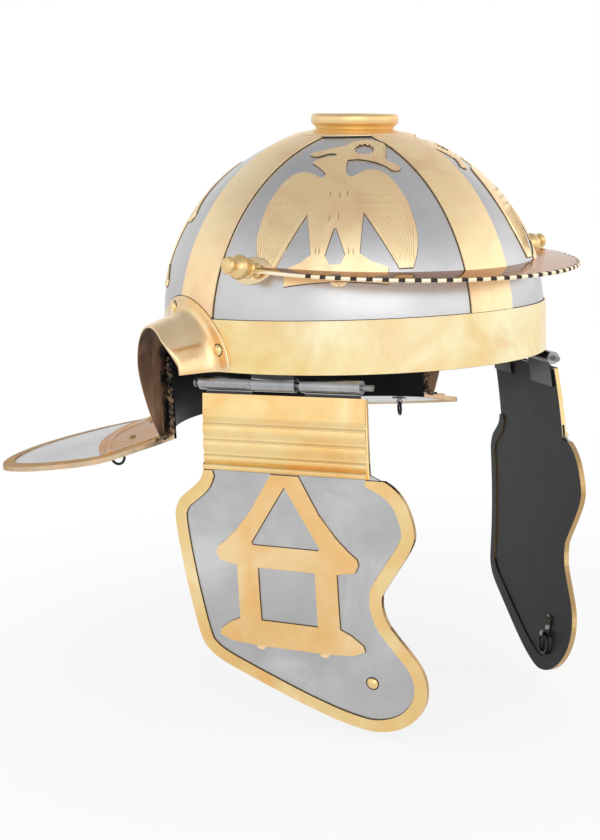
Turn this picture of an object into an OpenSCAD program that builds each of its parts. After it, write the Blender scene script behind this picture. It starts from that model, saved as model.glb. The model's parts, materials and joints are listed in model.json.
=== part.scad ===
// Imperial Italic helmet: steel bowl with brass trim, brow guard, ear guards,
// sloping neck guard and two cheek pieces on pinned hinges.
// Axes: +X to the front, +Y to the wearer's left, +Z up.
// The origin is the centre of the rim, level with the lower edge of the brow band.
// What follows the bowl is drawn on a round dome and stretched to the oval at the end.

/* [Bowl] */
// Outside length of the bowl, front to back
bowl_len = 224; // [218:1:230]
// Outside width of the bowl, ear to ear
bowl_wid = 208; // [202:1:214]
// Height of the centre of the dome above the rim
dome_z = 20.8; // [19:0.1:25]
// Thickness of the steel sheet
steel_t = 1.2; // [1:0.1:1.5]
// How far the nape hangs below the rim
nape_drop = 44; // [42:1:47]

/* [Brass trim] */
// Thickness of the brass sheet of the band and strips
brass_t = 1; // [0.8:0.1:1.2]
// Height of the brow band
band_h = 27; // [24:1:30]
// Width of the four crossing strips
strip_w = 29; // [26:1:32]
// Distance of the side strips behind the middle of the bowl
strip_back = 4.5; // [0:0.5:8]
// Forward lean of the crown fitting, in degrees
crown_lean = 4.5; // [0:0.5:5]
// Radius of the foot of the crown plate
crown_r = 34; // [32:1:36]
// Radius of the crest socket
socket_r = 24.3; // [23:0.1:26]
// Height of the crest socket
socket_h = 7; // [6:0.5:8]
// Radius of the hole for the crest stem
stem_r = 5; // [4:0.5:6]
// Size of the eagles against the drawn one
eagle_size = 1; // [0.9:0.05:1.05]
// Size of the rear temples against the drawn one
rear_temple_size = 0.84; // [0.75:0.01:0.9]

/* [Brow guard] */
// Height of the brow guard above the rim at the knobs
guard_z = 52.2; // [50:0.2:54]
// How far the brow guard stands out in front of the bowl
guard_reach = 33; // [30:0.5:38]
// Thickness of the brow guard plate
guard_t = 2; // [1.6:0.2:2.4]
// Downward slope of the brow guard to the front, in degrees
guard_slope = 2.2; // [0:0.2:3]
// Distance between two notches along the edge
notch_pitch = 8.6; // [7:0.2:10]
// How far the knobs stand out from the middle of the helmet
knob_tip = 119; // [116:1:122]

/* [Ear guards] */
// Distance of the ear openings behind the middle of the bowl
ear_back = 17; // [14:1:20]
// Height of the ear opening above the rim
ear_r = 25; // [23:1:27]
// Width of the flange round the ear opening
flange_w = 13; // [12:0.5:15]
// How far the ear guard stands out from the bowl at its front
lip_reach = 21; // [17:1:24]

/* [Neck guard] */
// Slope of the neck guard, in degrees
neck_slope = 12.5; // [10:0.5:15]
// Reach of the neck guard behind the bowl
neck_reach = 93; // [86:1:98]
// Half width of the neck guard
neck_half = 156; // [148:1:160]
// Width of the brass edge binding
edge_w = 6; // [5:0.5:7]
// Width of the brass nape plate
nape_w = 41; // [36:1:44]
// Half length of the carrying handle
handle_half = 56; // [48:1:58]
// Height of the carrying handle over the nape plate
handle_h = 11; // [9:1:14]

/* [Cheek pieces] */
// Height of a cheek piece from hinge to tip
cheek_h = 178; // [170:1:186]
// Width of a cheek piece
cheek_w = 138; // [132:1:142]
// Radius of the inward curve of the cheek pieces
cheek_bend = 450; // [420:10:600]
// Outward lean of the right cheek piece as it hangs, in degrees
lean_right = 0; // [-6:1:8]
// Outward lean of the left cheek piece as it hangs, in degrees
lean_left = -3; // [-6:1:8]
// Height of the ribbed brass panel, from the hinge to its lower edge
panel_h = 44.6; // [43:0.1:46]
// Turn of the hinge towards the front, in degrees
hinge_turn = 25; // [23:1:27]
// Distance of the hinge line below the rim
hinge_drop = 6; // [5.5:0.5:7]
// Outside radius of the hinge knuckles
knuckle_r = 3.5; // [3.2:0.1:3.7]
// Radius of the hinge pin
pin_r = 1.5; // [1.3:0.1:1.7]

/* [Tie rings] */
// Outside radius of the tie rings on the cheek pieces
ring_r = 6.5; // [6:0.5:7.5]
// Outside radius of the tie rings under the neck guard
neck_ring_r = 5; // [4.5:0.5:6]
// Wire radius of the tie rings
wire_r = 0.8; // [0.7:0.1:0.9]

/* [Hidden] */
$fn = 96;
fit = 0.05;
// Gap between a brass skin and the bowl it lies on
seat = 0.1;
big = 400;
dome_r = bowl_wid / 2;
oval = bowl_len / bowl_wid;
half_len = bowl_len / 2;
// Places of the ear opening and side strips on the round dome
ear_x = -ear_back / oval;
side_x = -strip_back / oval;
flange_r = ear_r + flange_w;
lip_t = 1.4;
neck_top = -nape_drop + 2;
neck_k = tan(neck_slope);
plate_lift = 1.1;
// Where the hinge line crosses the side of the helmet
hinge_x = 4;
hinge_y = dome_r + 5.6;
hinge_len = 94.7;
knuckle_ends = [2.2, 33.2, 58.5, 61.5];
eagle_t = 0.8;

// A smooth closed outline through points: each span is a cubic cut into steps
function cubic(a, b, c, d, t) =
    0.5 * (2 * b + (c - a) * t + (2 * a - 5 * b + 4 * c - d) * t * t + (3 * b - a - 3 * c + d) * t * t * t);
function at(p, i) = p[(i + len(p)) % len(p)];
function smooth(p, steps) = [
    for (i = [0:len(p) - 1], k = [0:steps - 1])
        cubic(at(p, i - 1), at(p, i), at(p, i + 1), at(p, i + 2), k / steps)
];
// A smooth open line through points
function smooth_line(p, steps) = concat(
    [for (i = [0:len(p) - 2], k = [0:steps - 1])
        cubic(p[max(0, i - 1)], p[i], p[i + 1], p[min(len(p) - 1, i + 2)], k / steps)],
    [p[len(p) - 1]]
);
// The same open line moved by d to the right of its running direction
function moved(p, d) = [
    for (i = [0:len(p) - 1])
        let (run = p[min(i + 1, len(p) - 1)] - p[max(i - 1, 0)])
        p[i] + d * [run[1], -run[0]] / norm(run)
];
// The mirror image of half an outline, listed backwards so that it closes the shape
function other_side(p) = [for (i = [len(p) - 1:-1:0]) [-p[i][0], p[i][1]]];
// Half width of the bowl at a distance x in front of its middle
function side_y(x) = dome_r * sqrt(1 - pow(x / half_len, 2));
// Direction of the bowl's side at x, in degrees to the front
function side_turn(x) = atan2(x / pow(half_len, 2), side_y(x) / pow(dome_r, 2));

module oval_form() { scale([oval, 1, 1]) children(); }
module left_side() { mirror([0, 1, 0]) children(); }

// Solid dome of radius r on a straight wall that starts at z = low
module dome_solid(r, low) {
    translate([0, 0, dome_z]) intersection() {
        sphere(r);
        translate([0, 0, big / 2]) cube(big, center = true);
    }
    translate([0, 0, low]) cylinder(r = r, h = dome_z - low);
}
module dome_skin(inner, outer, low) {
    difference() {
        dome_solid(outer, low);
        dome_solid(inner, low - 1);
    }
}
// Section of the wall between two radii, on one side of the axis
module wall_profile(inner, outer, low) {
    difference() {
        union() {
            intersection() {
                translate([0, dome_z]) circle(outer);
                translate([0, dome_z]) square(outer);
            }
            translate([0, low]) square([outer, dome_z - low]);
        }
        union() {
            intersection() {
                translate([0, dome_z]) circle(inner);
                translate([0, dome_z]) square(inner);
            }
            translate([0, low - 1]) square([inner, dome_z - low + 1]);
        }
    }
}
// A quarter of the wall, 45 degrees to each side of the direction turn
module dome_quarter(turn, inner, outer, low) {
    rotate([0, 0, turn - 45]) rotate_extrude(angle = 90) wall_profile(inner, outer, low);
}
// A flat shape (X to the front, Y up from the rim) pushed across the helmet at the ears
module across_ears() {
    translate([ear_x, big / 2, 0]) rotate([90, 0, 0]) linear_extrude(big) children();
}
// The ear arch of radius r with a rear side that runs down to the nape
module ear_arch(r) {
    intersection() {
        circle(r);
        translate([-r, 0]) square([2 * r, r]);
    }
    translate([-r, -nape_drop - 2]) square([r, nape_drop + 2]);
}
// What is open at the ear and under the brow
module ear_open() {
    intersection() {
        circle(ear_r);
        translate([-ear_r, 0]) square([2 * ear_r, ear_r]);
    }
    translate([-ear_r, -nape_drop - 3]) square([big, nape_drop + 3]);
}
// All that lies below the top face of the neck guard, raised by lift
module under_neck(lift) {
    translate([0, 0, neck_top + lift - 100])
        rotate_extrude() polygon([[0, 0], [250, 0], [250, 100 - 146 * neck_k], [dome_r, 100], [0, 100]]);
}

// Rivets: places along the bowl's side, seen square to the bowl
ear_rivet_at = [20, 106, 158];
module at_ear_rivet(a) {
    r = ear_r + flange_w * 0.6;
    x = -ear_back + r * oval * cos(a);
    z = r * sin(a);
    shrink = z > dome_z ? sqrt(1 - pow((z - dome_z) / dome_r, 2)) : 1;
    y = shrink * dome_r * sqrt(1 - pow(x / (half_len * shrink), 2));
    tilt = z > dome_z ? asin((z - dome_z) / dome_r) : 0;
    translate([x, -y, z]) rotate([0, 0, side_turn(x)]) rotate([90 - tilt, 0, 0]) children();
}
module rivet_shape(head_r, shank_r, grip) {
    translate([0, 0, -grip]) cylinder(r = shank_r, h = grip + 0.4);
    intersection() {
        translate([0, 0, head_r * 0.55 - head_r * 1.18]) sphere(head_r * 1.18);
        translate([0, 0, 0.02]) cylinder(r = head_r, h = head_r);
    }
}

module skull_bowl() {
    color("silver") difference() {
        for (turn = [45:90:315]) oval_form() dome_quarter(turn, dome_r - steel_t, dome_r, -nape_drop);
        oval_form() across_ears() ear_open();
        ear_rivet_holes();
        left_side() ear_rivet_holes();
    }
}
module ear_rivet_holes() {
    for (a = ear_rivet_at) at_ear_rivet(a) translate([0, 0, -5]) cylinder(r = 1.4 + fit, h = 10);
}

// Ear guard: a flange on the bowl with a lip that stands out over the ear
module ear_guard() {
    color("goldenrod") difference() {
        union() {
            intersection() {
                oval_form() dome_quarter(-90, dome_r + seat, dome_r + lip_t, -nape_drop);
                oval_form() right_half() ear_ring(flange_r);
            }
            difference() {
                oval_form() intersection() {
                    right_half() ear_ring(ear_r + lip_t);
                    translate([ear_x + ear_r, -dome_r - lip_reach, 0]) rotate([0, 0, -12.4])
                        translate([-big / 2, 0, -big / 2]) cube([big, 55, big]);
                }
                oval_form() dome_quarter(-90, 50, dome_r + lip_t / 2, -nape_drop - 1);
            }
        }
        oval_form() under_neck(plate_lift + 0.1);
        ear_rivet_holes();
    }
}
// A band of radius r round the ear opening, on the right side only
module right_half() {
    intersection() {
        across_ears() children();
        translate([-big / 2, -big, -big / 2]) cube(big);
    }
}
module ear_ring(r) {
    difference() {
        ear_arch(r);
        ear_open();
    }
}
module ear_rivets() {
    color("gold") for (a = ear_rivet_at)
        at_ear_rivet(a) translate([0, 0, lip_t]) rivet_shape(3.2, 1.4, 3.4);
}

module brow_band() {
    color("gold") oval_form() difference() {
        intersection() {
            difference() {
                cylinder(r = dome_r + brass_t, h = band_h);
                translate([0, 0, -1]) cylinder(r = dome_r + seat, h = band_h + 2);
            }
            translate([ear_x, -big / 2, -1]) cube(big);
        }
        across_ears() circle(flange_r + 0.3);
    }
}

// Frame of the leaning crown fitting, at the centre of the dome
crown_top = dome_r + 0.2;
module crown_frame() { translate([0, 0, dome_z]) rotate([0, crown_lean, 0]) children(); }
// A strip over the dome between the band and the crown plate
module strip(turn, low, shift) {
    color("gold") difference() {
        intersection() {
            union() {
                for (side = [-45, 45]) oval_form()
                    dome_quarter(turn + side, dome_r + seat, dome_r + brass_t, min(low, 0));
            }
            oval_form() crown_frame() rotate([0, 0, turn]) translate([20, -strip_w / 2 + shift, -big / 2])
                cube([big, strip_w, big]);
        }
        if (turn % 180 != 0) oval_form() across_ears() circle(flange_r + 0.3);
        translate([-big / 2, -big / 2, low - 50]) cube([big, big, 50]);
        crown_frame() cylinder(r = crown_r + 0.2, h = big);
    }
}
module crown_plate() {
    foot = sqrt(pow(dome_r, 2) - pow(crown_r, 2));
    color("goldenrod") difference() {
        crown_frame() rotate_extrude() polygon([
            [14, foot - 4], [crown_r, foot - 4], [crown_r, foot + 1.2], [28, dome_r - 2.5],
            [24, dome_r - 1.3],
            [22, dome_r - 0.7], [21.5, crown_top], [14, crown_top]
        ]);
        translate([0, 0, dome_z]) oval_form() sphere(dome_r + seat, $fn = 240);
    }
}
module crest_socket() {
    round_r = 2.5;
    color("goldenrod") crown_frame() translate([0, 0, crown_top]) difference() {
        rotate_extrude() union() {
            square([socket_r - round_r, socket_h]);
            translate([0, 1]) square([socket_r, socket_h - 1 - round_r]);
            square([socket_r - 1, 2]);
            translate([socket_r - round_r, socket_h - round_r]) circle(round_r);
        }
        translate([0, 0, 1.2]) cylinder(r = stem_r, h = socket_h);
    }
}

// Eagle: outline on the plane that touches the dome, pressed through the brass skin
wing = smooth_line([
    [6.8, 17.7], [8.4, 18], [11.2, 20.4], [15.6, 23.2], [21, 22.9], [26, 19], [30.5, 12], [34.5, 4],
    [37.5, -6], [39.2, -15], [38.8, -24], [37, -31.5]
], 4);
eagle_side = concat(wing, [
    [30.5, -33], [13.8, -5.4], [13, -13], [11.8, -27.5], [17, -31], [25.2, -33.2], [25.2, -41]
]);
module eagle_flat() {
    head = [
        [-5.6, 18.6], [-5.5, 20.4], [-7.2, 23.2], [-9.6, 26.6], [-12.4, 29.7], [-11.8, 31.2],
        [-9.3, 33], [-5.5, 33.9], [-1, 34.4], [6, 34], [4.9, 29], [4.6, 24.3], [4.8, 21], [5.6, 18.6]
    ];
    difference() {
        polygon(concat(head, eagle_side, other_side(eagle_side)));
        polygon([[0.6, -14.4], [5, -28.5], [2.5, -33], [-2.5, -33], [-5, -28.5], [-0.6, -14.4]]);
    }
}
module wreath_flat() {
    ribbon = [
        [-14, 37], [-12.8, 39.4], [-9, 40.2], [-3, 41.8], [3, 43.6], [6.7, 47.4], [11.7, 49.6],
        [16.9, 50.2], [20.8, 49], [23.1, 46.4], [24, 41.6], [24, 36.6], [24, 33], [26.3, 30.6],
        [30.1, 28.4], [31.2, 26.5], [29.8, 24.7], [27, 24.6], [24.5, 26.7], [20.1, 29.2], [15, 30.8],
        [9.9, 31.6], [5, 31], [1, 31], [-0.6, 33.4], [-1, 36.4], [-5, 37.2], [-10, 35.4]
    ];
    // Toothed hole
    star = [
        for (i = [0:23]) let(r = i % 2 == 0 ? 5.6 : 4.2)
            [13 + r * cos(15 * i), 40.6 + r * sin(15 * i)]
    ];
    difference() {
        polygon(smooth(ribbon, 3));
        polygon(star);
    }
}
module eagle() {
    color("khaki") oval_form() difference() {
        intersection() {
            dome_skin(dome_r + seat, dome_r + eagle_t, 10);
            translate([0, 0, dome_z]) rotate([0, 0, -46]) rotate([0, 90 - 37, 0]) rotate([0, 0, 90])
                translate([0, 0, 60]) linear_extrude(60) scale(eagle_size) union() {
                    eagle_flat();
                    wreath_flat();
                }
        }
        knob_foot(0.3);
    }
}

// Temple: a roof on two pillars over a stepped base, with two windows
module temple_flat() {
    half = [
        [8.1, 48.4], [20, 29], [29.3, 17.8], [36.2, 11.2], [41.4, 7.2], [42.2, 4.2], [40.2, 0.2],
        [29.6, -1.8],
        [29.9, -31.9], [36, -34.6], [42.8, -39.6], [43.4, -42.8], [37, -45.6], [22, -46.8]
    ];
    difference() {
        polygon(concat(half, other_side(half)));
        polygon([[0, 42.4], [20.4, 11.2], [19.4, 10], [-19.4, 10], [-20.4, 11.2]]);
        translate([-17, -32]) square([34, 29.8]);
    }
}
module rear_temple() {
    color("khaki") intersection() {
        oval_form() dome_quarter(-135, dome_r + seat, dome_r + eagle_t, 10);
        oval_form() translate([0, 0, dome_z])
            rotate([0, 0, -137]) rotate([0, 90 - 34, 0]) rotate([0, 0, 90])
            translate([0, 0, 60]) linear_extrude(60) scale(rear_temple_size) temple_flat();
    }
}

// Brow guard: a crescent plate with a notched edge
module brow_guard() {
    guard_x = 40;
    edge_r = half_len + guard_reach - guard_x - 1.5;
    step = notch_pitch / edge_r * 180 / PI;
    count = floor(76 / step);
    // The sides are cut straight just inside the knobs
    plain_y = knob_tip - 16.1;
    color("gold") difference() {
        translate([45, 0, guard_z - guard_t / 2])
            rotate([0, guard_slope, 0]) translate([guard_x - 45, 0, 0])
            difference() {
                intersection() {
                    cylinder(r = edge_r, h = guard_t);
                    translate([-4, -plain_y, -1]) cube([big, 2 * plain_y, guard_t + 2]);
                }
                for (i = [-count:count]) rotate([0, 0, i * step]) translate([edge_r + 0.4, 0, -1])
                    cylinder(r = 1.9, h = guard_t + 2);
            }
        for (s = [-1, 1]) translate([knob_x, s * (plain_y - 2.3), knob_z]) rotate([-s * 90, 0, 0])
            cylinder(r = 4.6, h = 10);
        oval_form() dome_solid(dome_r + brass_t + 0.08, -10);
    }
}
// Knob: an oval foot on the bowl and a turned baluster over the plate
knob_x = 45;
knob_z = guard_z + guard_t / 2 + 2.9;
module knob_foot(gap) {
    translate([knob_x / oval, -60, knob_z]) rotate([90, 0, 0]) linear_extrude(60)
        polygon([for (a = [0:15:345]) [(10 + gap) * cos(a), (7 + gap) * sin(a)]]);
}
module brow_knob() {
    color("gold") {
        difference() {
            oval_form() intersection() {
                dome_skin(dome_r + fit, dome_r + 1.7, 10);
                knob_foot(0);
            }
            translate([0, -big / 2, guard_z - guard_t * 2]) cube([big, big, guard_t * 3 + 0.1]);
        }
        difference() {
            translate([knob_x, 0, knob_z]) rotate([90, 0, 0]) rotate_extrude() {
                t = knob_tip;
                vase = [
                    [0, 86], [2.8, 86], [2.8, t - 18.4], [4.2, t - 18], [4.2, t - 16.4], [3.2, t - 15.8],
                    [6.3, t - 14.6], [6.4, t - 12.6], [5.4, t - 10.4], [3.4, t - 7.4], [2.3, t - 5.6],
                    [2.3, t - 4.8]
                ];
                ball = [for (a = [-60:15:90]) [0.9 + 3.5 * cos(a), t - 2.6 + 2.6 * sin(a)]];
                polygon(concat(vase, ball, [[0, t]]));
            }
            oval_form() dome_solid(dome_r + fit, 0);
        }
    }
}

// Neck guard: a sloping crescent behind the nape
function neck_outline() = let (
    k = neck_half / 156,
    b = (dome_r + neck_reach / oval) / 190.3,
    half = [
        [-41, -60], [-41.5, -97], [-46, -118], [-53, -137 * k], [-74, -149 * k], [-100, -156 * k],
        [-130 * b, -155 * k], [-156 * b, -137 * k], [-176 * b, -105 * k], [-187 * b, -56]
    ],
    mirrored = [for (i = [9:-1:0]) [half[i][0], -half[i][1]]]
) smooth_line(concat(half, [[-190.3 * b, 0]], mirrored), 4);
module neck_skin(low, high) {
    r_out = 240;
    fall = (r_out - dome_r) * neck_k;
    translate([0, 0, neck_top]) rotate_extrude() polygon([
        [dome_r + fit, low], [r_out, low - fall], [r_out, high - fall], [dome_r + fit, high]
    ]);
}
module neck_plan(inset) {
    translate([0, 0, -160]) linear_extrude(200) polygon(moved(neck_outline(), inset));
}
module neck_guard() {
    color("silver") oval_form() intersection() {
        neck_skin(-steel_t, 0);
        neck_plan(0);
    }
}
module neck_guard_binding() {
    color("gold") oval_form() difference() {
        intersection() {
            neck_skin(-steel_t - 0.8, 0.8);
            neck_plan(-0.8);
            translate([-big - ear_r - 14.5, -big / 2, -big / 2]) cube(big);
        }
        intersection() {
            neck_skin(-steel_t - 0.03, 0.03);
            neck_plan(-0.03);
        }
        neck_plan(edge_w);
        translate([0, 0, -160]) cylinder(r = dome_r + 0.3, h = 200);
    }
}
module nape_plate() {
    bead = 2.2;
    color("wheat") oval_form() difference() {
        intersection() {
            union() {
                neck_skin(0.05, 0.05 + brass_t);
                translate([0, 0, neck_top - (nape_w - 5) * neck_k + 0.4]) rotate_extrude()
                    translate([dome_r + nape_w - 5, 0]) circle(bead);
            }
            neck_plan(edge_w + 0.3);
            translate([0, 0, -160]) cylinder(r = dome_r + nape_w, h = 200);
        }
        translate([0, 0, -160]) cylinder(r = dome_r + 0.3, h = 200);
        under_neck(0.05);
        for (s = [-1, 1], a = [125, 148])
            translate([(dome_r + 22) * cos(a), s * (dome_r + 22) * sin(a), -80])
            cylinder(r = 1.6, h = 60);
    }
}
// Height of the top of the nape plate at a place on the helmet
function nape_z(x, y) = neck_top - (norm([x / oval, y]) - dome_r) * neck_k + 0.05 + brass_t;
handle_x = -half_len - 20;
handle_t = 1.6;
module at_handle() {
    translate([handle_x, 0, nape_z(handle_x, handle_half - 6) + 0.1])
        rotate([0, -neck_slope, 0]) children();
}
module carry_handle() {
    foot = 9;
    h = handle_h;
    a = handle_half;
    line = smooth_line([
        [-a + foot, 0], [-a + foot + 5, 3], [-a + 20, h * 0.72], [-a * 0.45, h * 0.97], [0, h],
        [a * 0.45, h * 0.97], [a - 20, h * 0.72], [a - foot - 5, 3], [a - foot, 0]
    ], 5);
    top = moved(line, -handle_t);
    color("gold") difference() {
        at_handle() rotate([0, 0, 90]) rotate([90, 0, 0]) translate([0, 0, -4]) linear_extrude(8) union() {
            polygon(concat(line, [for (i = [len(top) - 1:-1:0]) top[i]]));
            for (s = [-1, 1]) translate([s * (a - foot / 2 - 0.5) - foot / 2 - 1, -1.2])
                square([foot + 2, handle_t + 1.2]);
        }
        oval_form() under_neck(brass_t + 0.1);
        for (s = [-1, 1]) at_handle() translate([0, s * (a - 6), -3]) cylinder(r = 1.3 + fit, h = 9);
    }
}
// Frame that lies on the sloping top of the nape plate
module at_nape(x, y) {
    translate([x, y, nape_z(x, y) + 0.1]) rotate([0, 0, atan2(y, x / pow(oval, 2))])
        rotate([0, neck_slope, 0]) children();
}
module nape_rivets() {
    color("darkgoldenrod") {
        for (s = [-1, 1]) at_handle()
            translate([0, s * (handle_half - 6), handle_t]) rivet_shape(2.6, 1.3, 1.4);
        for (s = [-1, 1], a = [125, 148])
            at_nape(oval * (dome_r + 22) * cos(a), s * (dome_r + 22) * sin(a)) rivet_shape(2.4, 1.1, 0.9);
    }
}

// Frame of the right hinge: X along the pin to the front, -Y outwards, origin on the axis
module hinge_frame() {
    translate([hinge_x, -hinge_y, -hinge_drop]) rotate([0, 0, hinge_turn]) children();
}
module along(from, to, r) {
    translate([from, 0, 0]) rotate([0, 90, 0]) cylinder(r = r, h = to - from);
}
module hinge_leaf() {
    color("gray") difference() {
        union() {
            oval_form() intersection() {
                dome_skin(dome_r - steel_t - 1.35, dome_r - steel_t - 0.15, -8);
                scale([1 / oval, 1, 1]) hinge_frame() translate([knuckle_ends[1] + 0.3, -8, 2.6])
                    cube([knuckle_ends[2] - knuckle_ends[1] - 0.6, 20, hinge_drop + 14]);
            }
            hinge_frame() along(knuckle_ends[1] + 0.15, knuckle_ends[2], knuckle_r + 0.2);
        }
        hinge_frame() along(-1, hinge_len + 10, pin_r + fit);
    }
}
module hinge_pin() {
    color("dimgray") hinge_frame() {
        along(-0.4, hinge_len + 5.9, pin_r);
        along(-1.2, -0.2, pin_r + 0.8);
    }
}

// Cheek piece: drawn in the hinge frame, hanging down along -Z
bend_y = sqrt(pow(cheek_bend, 2) - pow(cheek_h / 2, 2));
module cheek_skin(inner, outer) {
    translate([-60, bend_y, -cheek_h / 2]) rotate([0, 90, 0]) difference() {
        cylinder(r = outer, h = 260);
        translate([0, 0, -1]) cylinder(r = inner, h = 262);
    }
}
// A flat outline (X to the front, Y down from the hinge) pushed through the cheek
module through_cheek() {
    translate([0, 60, 0]) rotate([90, 0, 0]) mirror([0, 1, 0]) linear_extrude(120) children();
}
cheek_k = (cheek_h - 47) / 131;
function down(h) = h > 47 ? 47 + (h - 47) * cheek_k : h;
function cheek_points() = [
    for (p = [
        [5.8, 46], [4, 50.6], [-0.9, 55.2], [-7.6, 60.4], [-10.9, 66], [-11.4, 72.5], [-8.5, 93], [-4, 119],
        [-0.2, 137.4], [3.9, 143.6], [9.1, 147.6], [19.5, 152.6], [50.4, 165.2], [67.2, 171.3],
        [80.4, 175.2],
        [93.6, 177.5], [103.6, 176.3], [112.2, 172.8], [119.2, 167.2], [124.5, 159.4], [126.5, 151],
        [125.5, 142.6], [121.4, 134.8], [109, 119.2], [105.6, 111], [105.2, 104.6], [107, 99.4],
        [118.6, 82.2],
        [122.8, 74], [123.3, 69], [121.8, 62.6], [118.6, 55.2], [113.5, 49.3], [107.6, 45.6], [100.4, 42.4]
    ]) [p[0] * cheek_w / 138, down(p[1])]
];
cheek_edge = smooth_line(cheek_points(), 3);
cheek_right_x = 96.6 * cheek_w / 138;
cheek_left_x = 3.5 * cheek_w / 138;
// The edge runs down the rear and up the front, closed by a straight top at height top
function cheek_shape(inset, top) =
    concat(moved(cheek_edge, inset), [[cheek_right_x + top / 16, top], [cheek_left_x + top / 18, top]]);
rivet_s = 97.4 * cheek_w / 138;
rivet_z = down(150.7);
// Outer face of the cheek plate at a height z in the hinge frame
function cheek_y(z) = bend_y - sqrt(pow(cheek_bend, 2) - pow(z + cheek_h / 2, 2));
function cheek_tilt(z) = asin((z + cheek_h / 2) / cheek_bend);
module at_cheek_rivet() {
    translate([rivet_s, cheek_y(-rivet_z), -rivet_z]) rotate([90 - cheek_tilt(-rivet_z), 0, 0]) children();
}
module cheek_plate() {
    color("silver") difference() {
        intersection() {
            cheek_skin(cheek_bend - steel_t, cheek_bend);
            through_cheek() polygon(cheek_shape(0, 6.2));
        }
        at_cheek_rivet() translate([0, 0, -5]) cylinder(r = 1.6 + fit, h = 10);
    }
}
module cheek_leaf() {
    inner = cheek_bend - steel_t - fit;
    color("gray") difference() {
        union() {
            along(knuckle_ends[0], knuckle_ends[1] - 0.15, knuckle_r);
            along(knuckle_ends[3], hinge_len, knuckle_r);
            intersection() {
                cheek_skin(inner - 1, inner);
                through_cheek() union() {
                    translate([cheek_left_x + 1.4, 2.4]) square([knuckle_ends[1] - cheek_left_x - 2.4, 14]);
                    translate([knuckle_ends[3] + 1, 2.4]) square([hinge_len - knuckle_ends[3] - 2.4, 14]);
                }
            }
        }
        along(-5, hinge_len + 10, pin_r + fit);
    }
}
// Lift of the panel's face over the plate, by the distance below the hinge:
// four grooves between low swells, then a rolled bead along the lower edge
panel_lift = smooth_line([
    [5.2, 0.9], [17, 0.95], [19.4, 0.4], [21.8, 1.2], [25, 1.2], [27.6, 0.4], [30, 1.2], [33, 1.2],
    [35.7, 0.4], [37.6, 1.2], [39.4, 1.1], [40.5, 0.4], [41.3, 1.9], [42.6, 2.5], [44, 2], [44.6, 1]
], 3);
module cheek_panel() {
    low = panel_h / 44.6;
    back = [for (h = [panel_h:-panel_h / 20:5.2]) [cheek_y(-h) - fit, -h]];
    face = [for (p = panel_lift) [cheek_y(-p[0] * low) - fit - p[1] * brass_t, -p[0] * low]];
    color("gold") intersection() {
        translate([-20, 0, 0]) rotate([90, 0, 90]) linear_extrude(160) polygon(concat(face, back));
        through_cheek() polygon([
            [cheek_left_x, 0], [cheek_right_x, 0], [cheek_right_x + 3, 50], [cheek_left_x + 2.8, 50]
        ]);
    }
}
module cheek_binding() {
    color("gold") difference() {
        intersection() {
            cheek_skin(cheek_bend - steel_t - 0.8, cheek_bend + 0.8);
            through_cheek() polygon(cheek_shape(-0.8, 30));
            translate([-50, -60, -200]) cube([200, 120, 200 - panel_h - 0.4]);
        }
        intersection() {
            cheek_skin(cheek_bend - steel_t - 0.03, cheek_bend + 0.03);
            through_cheek() polygon(cheek_shape(-0.03, 30));
        }
        through_cheek() polygon(cheek_shape(edge_w, 30));
    }
}
module cheek_temple() {
    k = cheek_w / 138;
    color("khaki") intersection() {
        cheek_skin(cheek_bend + fit, cheek_bend + fit + 0.8);
        through_cheek() translate([53 * k, down(92.2)]) scale([0.97 * k, -0.97 * cheek_k]) temple_flat();
        translate([-50, -60, -200]) cube([200, 120, 200 - panel_h - 0.3]);
    }
}
module cheek_rivet() {
    color("gold") at_cheek_rivet() {
        translate([0, 0, 0.05]) rivet_shape(3.3, 1.6, 3.2);
        translate([0, 0, -steel_t - 1.9]) cylinder(r = 2.6, h = 0.7);
    }
}
// Strap: a folded strip under the rivet with a rolled eye that carries the ring
eye_r = wire_r + 0.55;
strap_drop = 7.4;
strap_off = steel_t + 0.05;
module cheek_strap() {
    color("dimgray") at_cheek_rivet() translate([0, 0, -strap_off]) difference() {
        union() {
            translate([-2.5, -strap_drop + 1, -1]) cube([5, strap_drop + 2, 0.95]);
            translate([-1.5, -strap_drop, -1]) cube([3, 2, 0.95]);
            translate([-1.5, -strap_drop, -eye_r - 0.9])
                rotate([0, 90, 0]) cylinder(r = eye_r + 0.8, h = 3);
        }
        translate([-5, -strap_drop, -eye_r - 0.9]) rotate([0, 90, 0]) cylinder(r = eye_r, h = 10);
        translate([0, 0, -3]) cylinder(r = 1.6 + fit, h = 6);
    }
}
// A wire ring that hangs from the eye at the origin, in the XY plane
module wire_ring(r) {
    translate([0, -(r - wire_r), 0]) rotate_extrude() translate([r - wire_r, 0]) circle(wire_r, $fn = 48);
}
module cheek_ring() {
    color("black") at_cheek_rivet() translate([0, -strap_drop, -strap_off - eye_r - 0.9])
        rotate([-5, 0, 0]) wire_ring(ring_r);
}

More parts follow.
